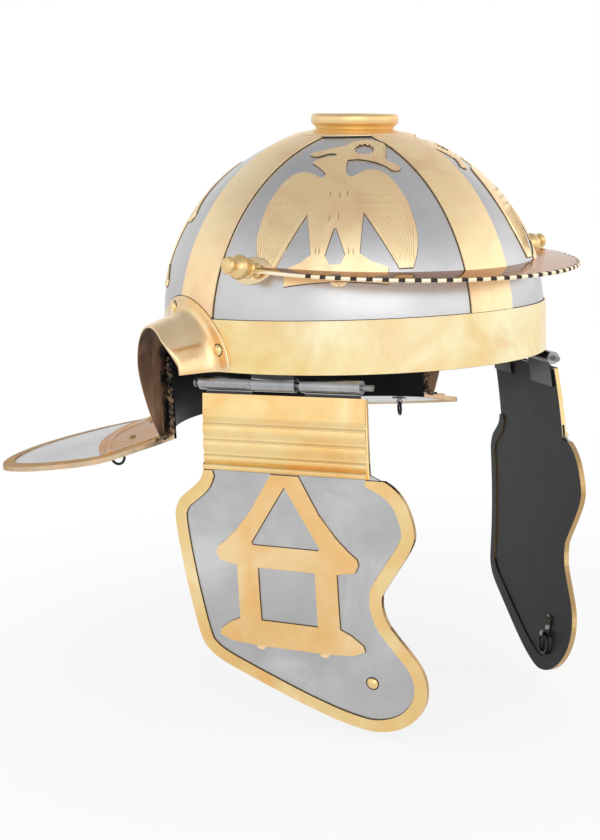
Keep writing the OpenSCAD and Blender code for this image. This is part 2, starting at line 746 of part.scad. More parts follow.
// Neck staple and ring under the neck guard, one on each side
staple_x = -84;
staple_y = 110;
staple_eye = 3.2;
module at_staple() {
    r = norm([staple_x / oval, staple_y]);
    translate([staple_x, -staple_y, neck_top - (r - dome_r) * neck_k - steel_t - 0.1]) children();
}
module neck_staple() {
    down = atan2(-staple_y, staple_x / pow(oval, 2));
    color("dimgray") at_staple() difference() {
        union() {
            rotate([0, 0, down]) rotate([0, neck_slope, 0]) translate([-4, -4, -0.9]) cube([8, 8, 0.8]);
            rotate([0, 0, 30]) translate([-1.4, 0, -staple_eye]) rotate([0, 90, 0])
                cylinder(r = eye_r + 0.7, h = 2.8);
            rotate([0, 0, 30]) translate([-1.4, -1.4, -staple_eye + 1.4])
                cube([2.8, 2.8, staple_eye - 1.9]);
        }
        rotate([0, 0, 30]) translate([-5, 0, -staple_eye]) rotate([0, 90, 0]) cylinder(r = eye_r, h = 10);
    }
}
module neck_ring() {
    color("black") at_staple() rotate([0, 0, 30]) translate([0, 0, -staple_eye]) rotate([90, 0, 0])
        wire_ring(neck_ring_r);
}

module right_cheek() { hinge_frame() rotate([-lean_right, 0, 0]) children(); }
module left_cheek() { left_side() hinge_frame() rotate([-lean_left, 0, 0]) children(); }

skull_bowl();
neck_guard();
neck_guard_binding();
nape_plate();
carry_handle();
nape_rivets();
ear_guard();  // ear_guard_right
left_side() ear_guard();  // ear_guard_left
ear_rivets();  // ear_rivets_right
left_side() ear_rivets();  // ear_rivets_left
brow_band();
brow_guard();
brow_knob();  // brow_knob_right
left_side() brow_knob();  // brow_knob_left
strip(0, band_h + 0.2, 0);  // strip_front
strip(-90, 20, side_x);  // strip_right
strip(90, 20, -side_x);  // strip_left
strip(180, neck_top + 1.2, 0);  // strip_rear
crown_plate();
crest_socket();
eagle();  // eagle_right
left_side() eagle();  // eagle_left
rear_temple();  // temple_rear_right
left_side() rear_temple();  // temple_rear_left
hinge_leaf();  // hinge_leaf_right
left_side() hinge_leaf();  // hinge_leaf_left
hinge_pin();  // hinge_pin_right
left_side() hinge_pin();  // hinge_pin_left
neck_staple();  // neck_staple_right
left_side() neck_staple();  // neck_staple_left
neck_ring();  // neck_ring_right
left_side() neck_ring();  // neck_ring_left
right_cheek() cheek_plate();  // cheek_plate_right
right_cheek() cheek_leaf();  // cheek_leaf_right
right_cheek() cheek_panel();  // cheek_panel_right
right_cheek() cheek_binding();  // cheek_binding_right
right_cheek() cheek_temple();  // cheek_temple_right
right_cheek() cheek_rivet();  // cheek_rivet_right
right_cheek() cheek_strap();  // cheek_strap_right
right_cheek() cheek_ring();  // cheek_ring_right
left_cheek() cheek_plate();  // cheek_plate_left
left_cheek() cheek_leaf();  // cheek_leaf_left
left_cheek() cheek_panel();  // cheek_panel_left
left_cheek() cheek_binding();  // cheek_binding_left
left_cheek() cheek_temple();  // cheek_temple_left
left_cheek() cheek_rivet();  // cheek_rivet_left
left_cheek() cheek_strap();  // cheek_strap_left
left_cheek() cheek_ring();  // cheek_ring_left
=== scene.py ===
"""Imperial Italic helmet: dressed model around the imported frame, in metres."""
import json
import math

import bmesh
import bpy
from mathutils import Matrix, Vector


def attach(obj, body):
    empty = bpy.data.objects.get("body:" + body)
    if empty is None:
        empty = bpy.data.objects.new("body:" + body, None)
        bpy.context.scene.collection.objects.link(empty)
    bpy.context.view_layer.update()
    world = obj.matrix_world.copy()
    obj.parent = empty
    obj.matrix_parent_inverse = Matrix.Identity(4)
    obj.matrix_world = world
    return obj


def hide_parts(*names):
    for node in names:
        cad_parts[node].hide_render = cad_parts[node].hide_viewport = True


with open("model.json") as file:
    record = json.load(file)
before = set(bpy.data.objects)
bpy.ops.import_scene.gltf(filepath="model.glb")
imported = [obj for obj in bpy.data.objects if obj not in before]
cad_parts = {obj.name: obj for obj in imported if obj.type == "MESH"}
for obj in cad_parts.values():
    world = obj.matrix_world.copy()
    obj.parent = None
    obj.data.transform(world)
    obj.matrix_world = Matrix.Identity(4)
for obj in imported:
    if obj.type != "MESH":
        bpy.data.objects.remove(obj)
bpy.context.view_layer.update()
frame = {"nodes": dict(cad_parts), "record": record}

MM = 0.001
nodes = frame["nodes"]

# Sizes of the solids, in millimetres; slopes and leans in degrees
DOME_R, DOME_Z, OVAL = 104.0, 20.8, 224 / 208           # outer radius, height of the middle, stretch along X
EAR_X, EAR_R = -17 / OVAL, 25.0                         # ear opening in the unstretched dome
FLANGE_W, LIP_REACH = 13.0, 21.0                        # the ear guard's flange, and its lip from the bowl out
NECK_TOP, NECK_K = -42.0, math.tan(math.radians(12.5))  # top of the neck guard at the bowl, and its slope
NAPE_T = 1.25                                           # height of the nape plate over the neck guard
CROWN_LEAN, CROWN_TOP, CROWN_R, STEM_R = 4.5, 104.2, 34.0, 5.0
BEND, CHEEK_H = 450.0, 178.0                            # curve and height of the cheek plates
BEND_Y = math.sqrt(BEND ** 2 - (CHEEK_H / 2) ** 2)      # middle of that curve, in the hinge frame
LEAN = {"right": 0.0, "left": -3.0}                     # the left cheek piece hangs further in at rest
HINGE_AT, TOE = (4.0, -109.6, -6.0), math.radians(25)   # the right hinge, and its turn from fore and aft
GUARD_T, KNOB_X, KNOB_Z = 2.0, 45.0, 56.1               # the brow guard's thickness, the place of the knobs

# Sizes of this model alone, fitted to the photograph, in the same units
LIP_ROOT = 7.4                                          # height over the bowl at which the lip begins
GUARD_X, GUARD_R, GUARD_Z, GUARD_SLOPE = 37.0, 100.7, 52.5, 4.6
GUARD_END = math.radians(91)                            # half the angle that the brow guard spans
NOTCH_R, NOTCH_PITCH = 1.65, 7.74
NOTCH_SIDE, NOTCH_SHIFT = 15, 0.065                     # notches on each side, their shift in pitches

# Lens fitted to the photograph: focal length and picture height in pixels, sensor height in millimetres
FOCAL_PX, PHOTO_PX, SENSOR = 1342.63, 840.0, 36.0


# ---- Camera at the photograph's place ----
def make_camera():
    data = bpy.data.cameras.new("camera")
    data.sensor_fit = "VERTICAL"
    data.sensor_height = SENSOR
    data.lens = SENSOR * FOCAL_PX / PHOTO_PX
    data.clip_start = 0.01
    data.clip_end = 50
    cam = bpy.data.objects.new("camera", data)
    bpy.context.scene.collection.objects.link(cam)
    right = Vector((0.61315, 0.78898, -0.03946))
    down = Vector((0.10906, -0.13402, -0.98496))
    ahead = Vector((-0.78240, 0.59963, -0.16822))
    m = Matrix((right, -down, -ahead)).transposed().to_4x4()
    m.translation = Vector((0.5896, -0.4919, 0.0908))
    cam.matrix_world = m
    bpy.context.scene.camera = cam


# ---- Node helpers ----
def new_material(name):
    m = bpy.data.materials.new(name)
    m.use_nodes = True
    nt = m.node_tree
    return m, nt, nt.nodes["Principled BSDF"]


def object_coord(nt):
    return nt.nodes.new("ShaderNodeTexCoord").outputs["Object"]


def noise(nt, scale, detail=3.0, rough=0.55, stretch=None, distortion=0.0):
    out = object_coord(nt)
    if stretch:
        mp = nt.nodes.new("ShaderNodeMapping")
        mp.inputs["Scale"].default_value = stretch
        nt.links.new(out, mp.inputs["Vector"])
        out = mp.outputs["Vector"]
    n = nt.nodes.new("ShaderNodeTexNoise")
    n.inputs["Scale"].default_value = scale
    n.inputs["Detail"].default_value = detail
    n.inputs["Roughness"].default_value = rough
    n.inputs["Distortion"].default_value = distortion
    nt.links.new(out, n.inputs["Vector"])
    return n.outputs["Fac"]


def ramp(nt, fac, stops):
    r = nt.nodes.new("ShaderNodeValToRGB")
    el = r.color_ramp.elements
    while len(el) < len(stops):
        el.new(0.5)
    for e, (p, c) in zip(el, stops):
        e.position = p
        e.color = (*c, 1)
    nt.links.new(fac, r.inputs["Fac"])
    return r.outputs["Color"]


def mix(nt, fac, a, b, kind="MIX"):
    n = nt.nodes.new("ShaderNodeMix")
    n.data_type = "RGBA"
    n.blend_type = kind
    for value, socket in ((fac, n.inputs[0]), (a, n.inputs[6]), (b, n.inputs[7])):
        if isinstance(value, (tuple, float)):
            socket.default_value = (*value, 1) if isinstance(value, tuple) else value
        else:
            nt.links.new(value, socket)
    return n.outputs[2]


def remap(nt, fac, low, high, to_low=0.0, to_high=1.0):
    r = nt.nodes.new("ShaderNodeMapRange")
    r.inputs["From Min"].default_value = low
    r.inputs["From Max"].default_value = high
    r.inputs["To Min"].default_value = to_low
    r.inputs["To Max"].default_value = to_high
    nt.links.new(fac, r.inputs["Value"])
    return r.outputs["Result"]


def math_node(nt, kind, a, b=0.0):
    n = nt.nodes.new("ShaderNodeMath")
    n.operation = kind
    for value, socket in ((a, n.inputs[0]), (b, n.inputs[1])):
        if isinstance(value, (int, float)):
            socket.default_value = value
        else:
            nt.links.new(value, socket)
    return n.outputs[0]


def vector_math(nt, kind, a, b=None):
    """A vector node; a and b are sockets or plain tuples."""
    n = nt.nodes.new("ShaderNodeVectorMath")
    n.operation = kind
    for value, socket in ((a, n.inputs[0]), (b, n.inputs[1])):
        if isinstance(value, tuple):
            socket.default_value = value
        elif value is not None:
            nt.links.new(value, socket)
    return n.outputs["Value" if kind in ("DOT_PRODUCT", "LENGTH") else "Vector"]


def local_normal(nt, kind):
    """The normal in the piece's own frame, so that a mask made from it turns with the piece."""
    geo = nt.nodes.new("ShaderNodeNewGeometry")
    turn = nt.nodes.new("ShaderNodeVectorTransform")
    turn.vector_type = "NORMAL"
    turn.convert_from, turn.convert_to = "WORLD", "OBJECT"
    nt.links.new(geo.outputs[kind], turn.inputs[0])
    return turn.outputs[0]


def inner_side(nt, outward=None, edges=False, limit=-0.35):
    """1 on the faces that look inwards: against a direction, or towards the middle of the dome.

    With edges it is also 1 on the faces that look across that direction, to the front or the rear.
    """
    normal = local_normal(nt, "True Normal")
    away = outward
    if not outward:
        away = vector_math(nt, "NORMALIZE", vector_math(nt, "MULTIPLY", object_coord(nt), (1, 1, 0.6)))
    inward = math_node(nt, "LESS_THAN", vector_math(nt, "DOT_PRODUCT", normal, away), limit)
    if not edges:
        return inward
    across = vector_math(nt, "DOT_PRODUCT", normal, (-outward[1], outward[0], 0.0))
    edge = math_node(nt, "GREATER_THAN", math_node(nt, "ABSOLUTE", across), 0.85)
    return math_node(nt, "MAXIMUM", inward, edge)


def near_black(nt):
    return ramp(nt, noise(nt, 60, 4), [(0.35, (0.006, 0.006, 0.007)), (0.7, (0.016, 0.015, 0.015))])


def metal(name, stops, patch, rough, rough_var=0.06, grain=0.05, grain_scale=900, stretch=None,
          blush=None, black=None, edges=False, limit=-0.35):
    """Sheet metal: clouds of colour at scale patch, fine marks, and where asked a tint and black paint.

    blush is the tint, its amount and its scale. black is "dome" or the direction that looks outwards.
    """
    m, nt, b = new_material(name)
    color = ramp(nt, noise(nt, patch, 5, 0.6, None, 0.6), stops)
    if blush:
        tint, amount, scale = blush
        spot = remap(nt, noise(nt, scale, 3, 0.5, None, 1.2), 0.46, 0.68, 0.0, amount)
        color = mix(nt, spot, color, tint)
    marks = noise(nt, grain_scale, 2, 0.6, stretch)
    clouds = noise(nt, patch * 2.3, 4, 0.6)
    wear = math_node(nt, "ADD", math_node(nt, "MULTIPLY", marks, 0.4), math_node(nt, "MULTIPLY", clouds, 0.6))
    gloss = remap(nt, wear, 0.3, 0.7, rough - rough_var, rough + rough_var)
    if black:
        mask = inner_side(nt, None if black == "dome" else black, edges, limit)
        color = mix(nt, mask, color, near_black(nt))
        bare = math_node(nt, "SUBTRACT", 1.0, mask)
        painted = math_node(nt, "MULTIPLY", mask, 0.4)
        gloss = math_node(nt, "ADD", math_node(nt, "MULTIPLY", gloss, bare), painted)
        b.inputs["Specular IOR Level"].default_value = 0.12
        nt.links.new(bare, b.inputs["Metallic"])
    else:
        b.inputs["Metallic"].default_value = 1.0
    nt.links.new(color, b.inputs["Base Color"])
    nt.links.new(gloss, b.inputs["Roughness"])
    bump = nt.nodes.new("ShaderNodeBump")
    bump.inputs["Strength"].default_value = grain
    bump.inputs["Distance"].default_value = 0.0003
    nt.links.new(marks, bump.inputs["Height"])
    nt.links.new(bump.outputs["Normal"], b.inputs["Normal"])
    return m


# The direction in which a cheek piece looks outwards
OUT = {"right": (0.42262, -0.90631, 0.0), "left": (0.42262, 0.90631, 0.0)}
BRUSHED = (1, 1, 0.12)

# Colour stops
CHEEK_STEEL = [(0.28, (0.40, 0.40, 0.405)), (0.5, (0.49, 0.49, 0.495)), (0.70, (0.62, 0.62, 0.62))]
STEEL = [(0.25, (0.46, 0.46, 0.465)), (0.5, (0.53, 0.53, 0.535)), (0.75, (0.60, 0.60, 0.60))]
BRASS = [(0.25, (0.86, 0.62, 0.23)), (0.46, (0.94, 0.78, 0.40)), (0.66, (0.98, 0.90, 0.59))]
TEMPLE = [(0.25, (0.78, 0.50, 0.20)), (0.48, (0.87, 0.62, 0.32)), (0.72, (0.93, 0.74, 0.44))]
PANEL = [(0.25, (0.76, 0.51, 0.19)), (0.48, (0.85, 0.64, 0.31)), (0.72, (0.93, 0.76, 0.44))]
PALE = [(0.25, (0.92, 0.66, 0.36)), (0.5, (0.95, 0.74, 0.43)), (0.75, (0.97, 0.83, 0.54))]
EAR = [(0.25, (0.74, 0.52, 0.27)), (0.5, (0.82, 0.63, 0.38)), (0.75, (0.88, 0.72, 0.50))]
CAP = [(0.25, (0.72, 0.49, 0.20)), (0.5, (0.78, 0.57, 0.28)), (0.75, (0.86, 0.68, 0.38))]
ROSE = [(0.3, (0.66, 0.49, 0.37)), (0.7, (0.80, 0.66, 0.57))]
RIM = [(0.3, (0.58, 0.43, 0.28)), (0.7, (0.72, 0.58, 0.42))]
DARK_RIVET = [(0.3, (0.36, 0.26, 0.13)), (0.7, (0.56, 0.42, 0.22))]
GUARD = [(0.3, (0.80, 0.62, 0.50)), (0.7, (0.87, 0.70, 0.58))]
EDGE = [(0.3, (0.90, 0.74, 0.48)), (0.7, (0.97, 0.88, 0.68))]
PIN = [(0.3, (0.20, 0.20, 0.205)), (0.7, (0.32, 0.32, 0.325))]
KNUCKLE = [(0.3, (0.32, 0.32, 0.33)), (0.7, (0.46, 0.46, 0.47))]
IRON = [(0.3, (0.02, 0.02, 0.02)), (0.7, (0.05, 0.05, 0.05))]
ORANGE = (0.84, 0.46, 0.15)
PINK = (0.87, 0.57, 0.34)


def brass(name, black, rough, blush, stops):
    """Sheet brass with an orange blush."""
    return metal(name, stops, 16, rough, 0.06, 0.008, 500, (1, 1, 0.25), (ORANGE, blush, 24), black, limit=-0.85)


M = {
    "steel": metal("steel_satin", STEEL, 14, 0.33, 0.05, 0.03, 700, BRUSHED),
    "steel_bowl": metal("steel_bowl", STEEL, 14, 0.31, 0.05, 0.03, 700, BRUSHED, black="dome"),
    "brass": brass("brass_gold", None, 0.2, 0.45, BRASS),
    "temple": brass("brass_temple", None, 0.3, 0.7, TEMPLE),
    "ribbed": brass("brass_ribbed", None, 0.28, 0.7, PANEL),
    "pale": metal("brass_pale", PALE, 18, 0.36, 0.05, 0.008, 500, (1, 1, 0.25), (PINK, 0.75, 26)),
    "ear": metal("brass_ear", EAR, 18, 0.2, 0.06, 0.008, 500, blush=(ORANGE, 0.65, 26)),
    "cap": metal("brass_cap", CAP, 18, 0.3, 0.05, 0.01, 500, blush=(ORANGE, 0.5, 24)),
    "rose": metal("brass_rose", ROSE, 30, 0.26, 0.06, 0.02, 500, blush=(ORANGE, 0.45, 34)),
    "rim": metal("brass_rim", RIM, 40, 0.3, 0.06, 0.02, 500, blush=(PINK, 0.6, 18)),
    # Darker brass for the nape rivets.
    "dark_rivet": metal("brass_dark_rivet", DARK_RIVET, 60, 0.35, 0.05, 0.02, 500),
    "guard": metal("brass_polished", GUARD, 20, 0.09, 0.03, 0.01, 400, blush=(ORANGE, 0.25, 24)),
    "edge": metal("brass_edge", EDGE, 60, 0.28, 0.05, 0.03, 500),
    "pin": metal("steel_pin", PIN, 60, 0.28, 0.05, 0.04, 500),
    "black": metal("iron_black", IRON, 80, 0.35),
}

# The colour these metals take on at a grazing angle
for name, tint in (("guard", (0.62, 0.50, 0.44)), ("rose", (0.62, 0.50, 0.42)), ("rim", (0.55, 0.42, 0.28))):
    M[name].node_tree.nodes["Principled BSDF"].inputs["Specular Tint"].default_value = (*tint, 1)


def hinge_metal(side):
    """Bright rolled knuckles; the flat leaves away from the pin are black."""
    m = metal("steel_hinge_" + side, KNUCKLE, 60, 0.3, 0.05, 0.05, 500)
    nt = m.node_tree
    b = nt.nodes["Principled BSDF"]
    sign = 1 if side == "right" else -1
    pin_at = (HINGE_AT[0] * MM, sign * HINGE_AT[1] * MM, HINGE_AT[2] * MM)
    pin_along = (math.cos(TOE), sign * math.sin(TOE), 0)
    away = vector_math(nt, "SUBTRACT", object_coord(nt), pin_at)
    length = vector_math(nt, "LENGTH", vector_math(nt, "CROSS_PRODUCT", away, pin_along))
    mask = math_node(nt, "MAXIMUM", remap(nt, length, 0.0040, 0.0043), inner_side(nt, OUT[side]))
    bright = b.inputs["Base Color"].links[0].from_socket
    nt.links.new(mix(nt, mask, bright, near_black(nt)), b.inputs["Base Color"])
    nt.links.new(remap(nt, mask, 0.0, 1.0, 1.0, 0.0), b.inputs["Metallic"])
    return m


def shaded_rim(m, outward):
    """Brown painted shade on the faces that look neither out nor in: the rim of the cheek binding."""
    nt = m.node_tree
    base = nt.nodes["Principled BSDF"].inputs["Base Color"]
    facing = vector_math(nt, "DOT_PRODUCT", local_normal(nt, "Normal"), outward)
    rim = remap(nt, math_node(nt, "ABSOLUTE", facing), 0.35, 0.6, 0.75, 0.0)
    nt.links.new(mix(nt, rim, base.links[0].from_socket, (0.40, 0.25, 0.11)), base)


for side in ("right", "left"):
    M["steel_" + side] = metal("steel_cheek_" + side, CHEEK_STEEL, 18, 0.34, 0.05, 0.03, 700, BRUSHED,
                               black=OUT[side], edges=True)
    M["brass_" + side] = brass("brass_cheek_" + side, OUT[side], 0.26, 0.55, PANEL)
    M["hinge_" + side] = hinge_metal(side)
    M["rivet_" + side] = metal("brass_rivet_" + side, PANEL, 40, 0.28, 0.05, 0.01, 500, black=OUT[side])
    # The binding's rim faces get a brown painted shade.
    shaded_rim(M["brass_" + side], OUT[side])


def dark_line(name, stops, rough=0.6):
    """A look without shine, for gaps (painted shade), engraved lines and solder."""
    m, nt, b = new_material(name)
    nt.links.new(ramp(nt, noise(nt, 120, 3), stops), b.inputs["Base Color"])
    b.inputs["Roughness"].default_value = rough
    return m


# Near-black painted shade in the gaps round the brass plates, round the flange and crown and inside the notches;
# the knuckles' rolled seams use it too.
M["gap"] = dark_line("seam_painted_shade", [(0.3, (0.010, 0.008, 0.006)), (0.7, (0.035, 0.026, 0.016))])
M["engraved"] = dark_line("engraved_line", [(0.3, (0.40, 0.27, 0.12)), (0.7, (0.66, 0.50, 0.28))], 0.5)
M["dash"] = dark_line("engraved_dash", [(0.3, (0.06, 0.035, 0.015)), (0.7, (0.20, 0.13, 0.06))], 0.5)
M["solder"] = dark_line("blackened_solder", [(0.44, (0.010, 0.009, 0.008)), (0.62, (0.34, 0.22, 0.11))], 0.45)


def tarnish():
    """Inside of the ear guard: brown painted shade on the brass, turning ragged near-black towards the bowl."""
    m, nt, b = new_material("brass_tarnished")
    # The brown ramp is painted shade on the brass inside the lip.
    brown = ramp(nt, noise(nt, 38, 5, 0.65, (1, 1, 0.3), 1.0),
                 [(0.38, (0.08, 0.04, 0.02)), (0.52, (0.28, 0.15, 0.085)), (0.66, (0.66, 0.42, 0.27))])
    deep = nt.nodes.new("ShaderNodeAttribute")
    deep.attribute_name = "deep"
    # Deeper in, towards the bowl, the colour turns ragged near-black.
    ragged = math_node(nt, "ADD", deep.outputs["Fac"], math_node(nt, "MULTIPLY", noise(nt, 160, 4, 0.7), 0.5))
    mask = remap(nt, ragged, 1.20, 1.26)
    nt.links.new(mix(nt, mask, brown, near_black(nt)), b.inputs["Base Color"])
    nt.links.new(remap(nt, mask, 0.0, 1.0, 0.4, 0.0), b.inputs["Metallic"])
    b.inputs["Roughness"].default_value = 0.5
    return m


M["tarnish"] = tarnish()

# What the solids' own slots and some single nodes look like
SLOT = {"steel_satin": "steel", "brass_gold": "brass", "brass_pale": "pale", "brass_rose": "rose",
        "steel_hinge": "pin", "iron_black": "black"}
NODE_LOOK = {"skull_bowl": "steel_bowl", "carry_handle": "cap", "neck_guard_binding": "rim",
             "nape_rivets": "dark_rivet"}
for side in ("right", "left"):
    NODE_LOOK["cheek_plate_" + side] = "steel_" + side
    NODE_LOOK["cheek_binding_" + side] = "brass_" + side
    NODE_LOOK["cheek_rivet_" + side] = "rivet_" + side
    NODE_LOOK["cheek_temple_" + side] = "temple"
    NODE_LOOK["cheek_panel_" + side] = "ribbed"
    NODE_LOOK["hinge_leaf_" + side] = NODE_LOOK["cheek_leaf_" + side] = "hinge_" + side
for row in frame["record"]["subparts"]:
    for s in nodes[row["node"]].material_slots:
        s.material = M[NODE_LOOK.get(row["node"], SLOT[row["material_slot"]])]


# ---- Piece helpers ----
def body_of_node(name):
    for body, names in frame["record"]["behaviour"]["bodies"].items():
        if name in names:
            return body


def piece(name, verts, faces, mats, body, face_mats=None, crease=None):
    """A smooth mesh piece from points in millimetres, riding on a body. Edges over crease degrees stay sharp."""
    me = bpy.data.meshes.new(name)
    me.from_pydata([Vector(v) * MM for v in verts], [], faces)
    for m in mats if isinstance(mats, list) else [mats]:
        me.materials.append(m)
    if face_mats:
        for p, i in zip(me.polygons, face_mats):
            p.material_index = i
    for p in me.polygons:
        p.use_smooth = True
    ob = bpy.data.objects.new(name, me)
    bpy.context.scene.collection.objects.link(ob)
    bm = bmesh.new()
    bm.from_mesh(me)
    bmesh.ops.recalc_face_normals(bm, faces=bm.faces)
    bm.to_mesh(me)
    bm.free()
    if crease:
        me.set_sharp_from_angle(angle=math.radians(crease))
    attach(ob, body)
    return ob


def tube(name, lines, radius, mat, body, closed=False, sides=6):
    """Thin wires along lines of points in millimetres, as one mesh piece."""
    verts, faces = [], []
    for line in lines:
        pts = [Vector(p) for p in line]
        n = len(pts)
        if n < 2:
            continue
        base = len(verts)
        normal = None
        for i, p in enumerate(pts):
            a = pts[(i - 1) % n] if closed or i > 0 else p
            b = pts[(i + 1) % n] if closed or i < n - 1 else p
            run = (b - a).normalized() if (b - a).length > 1e-6 else Vector((1, 0, 0))
            if normal is None:
                normal = run.orthogonal().normalized()
            normal = (normal - run * normal.dot(run)).normalized()
            other = run.cross(normal)
            r = radius if closed or 0 < i < n - 1 else radius * 0.5
            for k in range(sides):
                t = 2 * math.pi * k / sides
                verts.append(p + normal * (r * math.cos(t)) + other * (r * math.sin(t)))
        for i in range(n if closed else n - 1):
            for k in range(sides):
                k2, j = (k + 1) % sides, (i + 1) % n
                row, after = base + i * sides, base + j * sides
                faces.append((row + k, after + k, after + k2, row + k2))
        if not closed:
            faces.append(tuple(base + k for k in range(sides))[::-1])
            faces.append(tuple(base + (n - 1) * sides + k for k in range(sides)))
    return piece(name, verts, faces, mat, body)


def bisect(low, high, steps, holds):
    """The place between low and high up to which a test holds."""
    for _ in range(steps):
        mid = (low + high) / 2
        if holds(mid):
            low = mid
        else:
            high = mid
    return low


# ---- Frames of the dome and of the cheek pieces ----
def dome_distance(p):
    """Distance in millimetres from the middle of the unstretched dome."""
    return math.sqrt((p.x / OVAL) ** 2 + p.y ** 2 + (p.z - DOME_Z) ** 2)


def dome_depth(p):
    """Height over the bowl of a point in metres; below the dome the bowl goes straight down."""
    x, y, z = p[0] / MM / OVAL, p[1] / MM, p[2] / MM - DOME_Z
    return math.sqrt(x * x + y * y + z * z) - DOME_R if z > 0 else math.hypot(x, y) - DOME_R


def cheek_local(p, side):
    """A point in metres, at rest, in the hinge frame of its cheek piece."""
    x = p[0] / MM - HINGE_AT[0]
    y = (p[1] if side == "right" else -p[1]) / MM - HINGE_AT[1]
    z = p[2] / MM - HINGE_AT[2]
    c, s = math.cos(TOE), math.sin(TOE)
    x, y = x * c + y * s, -x * s + y * c
    a = math.radians(LEAN[side])
    return Vector((x, y * math.cos(a) - z * math.sin(a), y * math.sin(a) + z * math.cos(a)))


def hinge_world(q, side):
    """A point of the hinge frame in the helmet's frame."""
    c, s = math.cos(TOE), math.sin(TOE)
    p = Vector((HINGE_AT[0] + q[0] * c - q[1] * s, HINGE_AT[1] + q[0] * s + q[1] * c, HINGE_AT[2] + q[2]))
    return p if side == "right" else Vector((p.x, -p.y, p.z))


def cheek_world(x, h, lift, side):
    """A point on the cheek plate's outer skin, at hinge-frame x and depth h below the hinge."""
    r = BEND + lift
    z = -h
    y = BEND_Y - math.sqrt(r * r - (z + CHEEK_H / 2) ** 2)
    a = -math.radians(LEAN[side])
    return hinge_world(Vector((x, y * math.cos(a) - z * math.sin(a), y * math.sin(a) + z * math.cos(a))), side)


def cheek_depth(side):
    """A function that gives the height of a point over the cheek plate's outer skin."""
    def depth(p):
        q = cheek_local(p, side)
        return math.hypot(q.y - BEND_Y, q.z + CHEEK_H / 2) - BEND
    return depth


# ---- Seams: painted shade, dark lines in the gaps along the foot of the brass skins ----
def chains(edges):
    """Joins edges, as pairs of vertex numbers, into open or closed lines."""
    near = {}
    for a, b in edges:
        near.setdefault(a, []).append(b)
        near.setdefault(b, []).append(a)
    used, out = set(), []
    for start in sorted(near, key=lambda v: (len(near[v]) == 2, v)):
        for nxt in near[start]:
            if (start, nxt) in used:
                continue
            line = [start, nxt]
            used.update(((start, nxt), (nxt, start)))
            while len(near[line[-1]]) == 2:
                step = [v for v in near[line[-1]] if (line[-1], v) not in used]
                if not step:
                    break
                used.update(((line[-1], step[0]), (step[0], line[-1])))
                line.append(step[0])
            out.append(line)
    return out


def from_above(depth, low=-0.4):
    """The same depth, but what lies below low counts as far away."""
    return lambda p: depth(p) if depth(p) > low else 9.0


def seam(node, depth, limit, radius):
    """A dark line of painted shade along the sharp edges of a node that lie within limit of the carrying
    surface.
    """
    bm = bmesh.new()
    bm.from_mesh(nodes[node].data)
    bmesh.ops.remove_doubles(bm, verts=bm.verts, dist=1e-6)
    edges = []
    for e in bm.edges:
        if len(e.link_faces) == 2 and e.calc_face_angle(0) > math.radians(40):
            if all(depth(v.co) < limit for v in e.verts):
                edges.append((e.verts[0].index, e.verts[1].index))
    bm.verts.ensure_lookup_table()
    lines = [[bm.verts[i].co / MM for i in line] for line in chains(edges)]
    bm.free()
    if lines:
        tube("seam_" + node, lines, radius, M["gap"], body_of_node(node), sides=5)


for n in ("strip_front", "strip_right", "strip_left", "strip_rear", "brow_band"):
    seam(n, dome_depth, 0.35, 0.28)
for n in ("eagle_right", "eagle_left", "temple_rear_right", "temple_rear_left"):
    seam(n, dome_depth, 0.35, 0.22)
for side in ("right", "left"):
    seam("cheek_temple_" + side, cheek_depth(side), 0.3, 0.3)
    seam("cheek_binding_" + side, from_above(cheek_depth(side)), 0.3, 0.3)
    # Round the rivets the dark rings are partly painted contact shadow and partly the rivets' engraved outlines.
    seam("cheek_rivet_" + side, from_above(cheek_depth(side), -0.1), 0.4, 0.35)
    seam("ear_rivets_" + side, from_above(dome_depth, 1.2), 2.2, 0.35)


# ---- Ear guards: a flange on the bowl that sweeps out into a lip ----
def dome_y(x, z):
    """Side of the unstretched dome at x, z."""
    h = max(z - DOME_Z, 0.0)
    return math.sqrt(max(DOME_R ** 2 - h * h - x * x, 1.0))


def neck_height(x, y):
    """Height of the nape plate's top side under a point of the unstretched frame."""
    return NECK_TOP + NAPE_T - (math.hypot(x, y) - DOME_R) * NECK_K


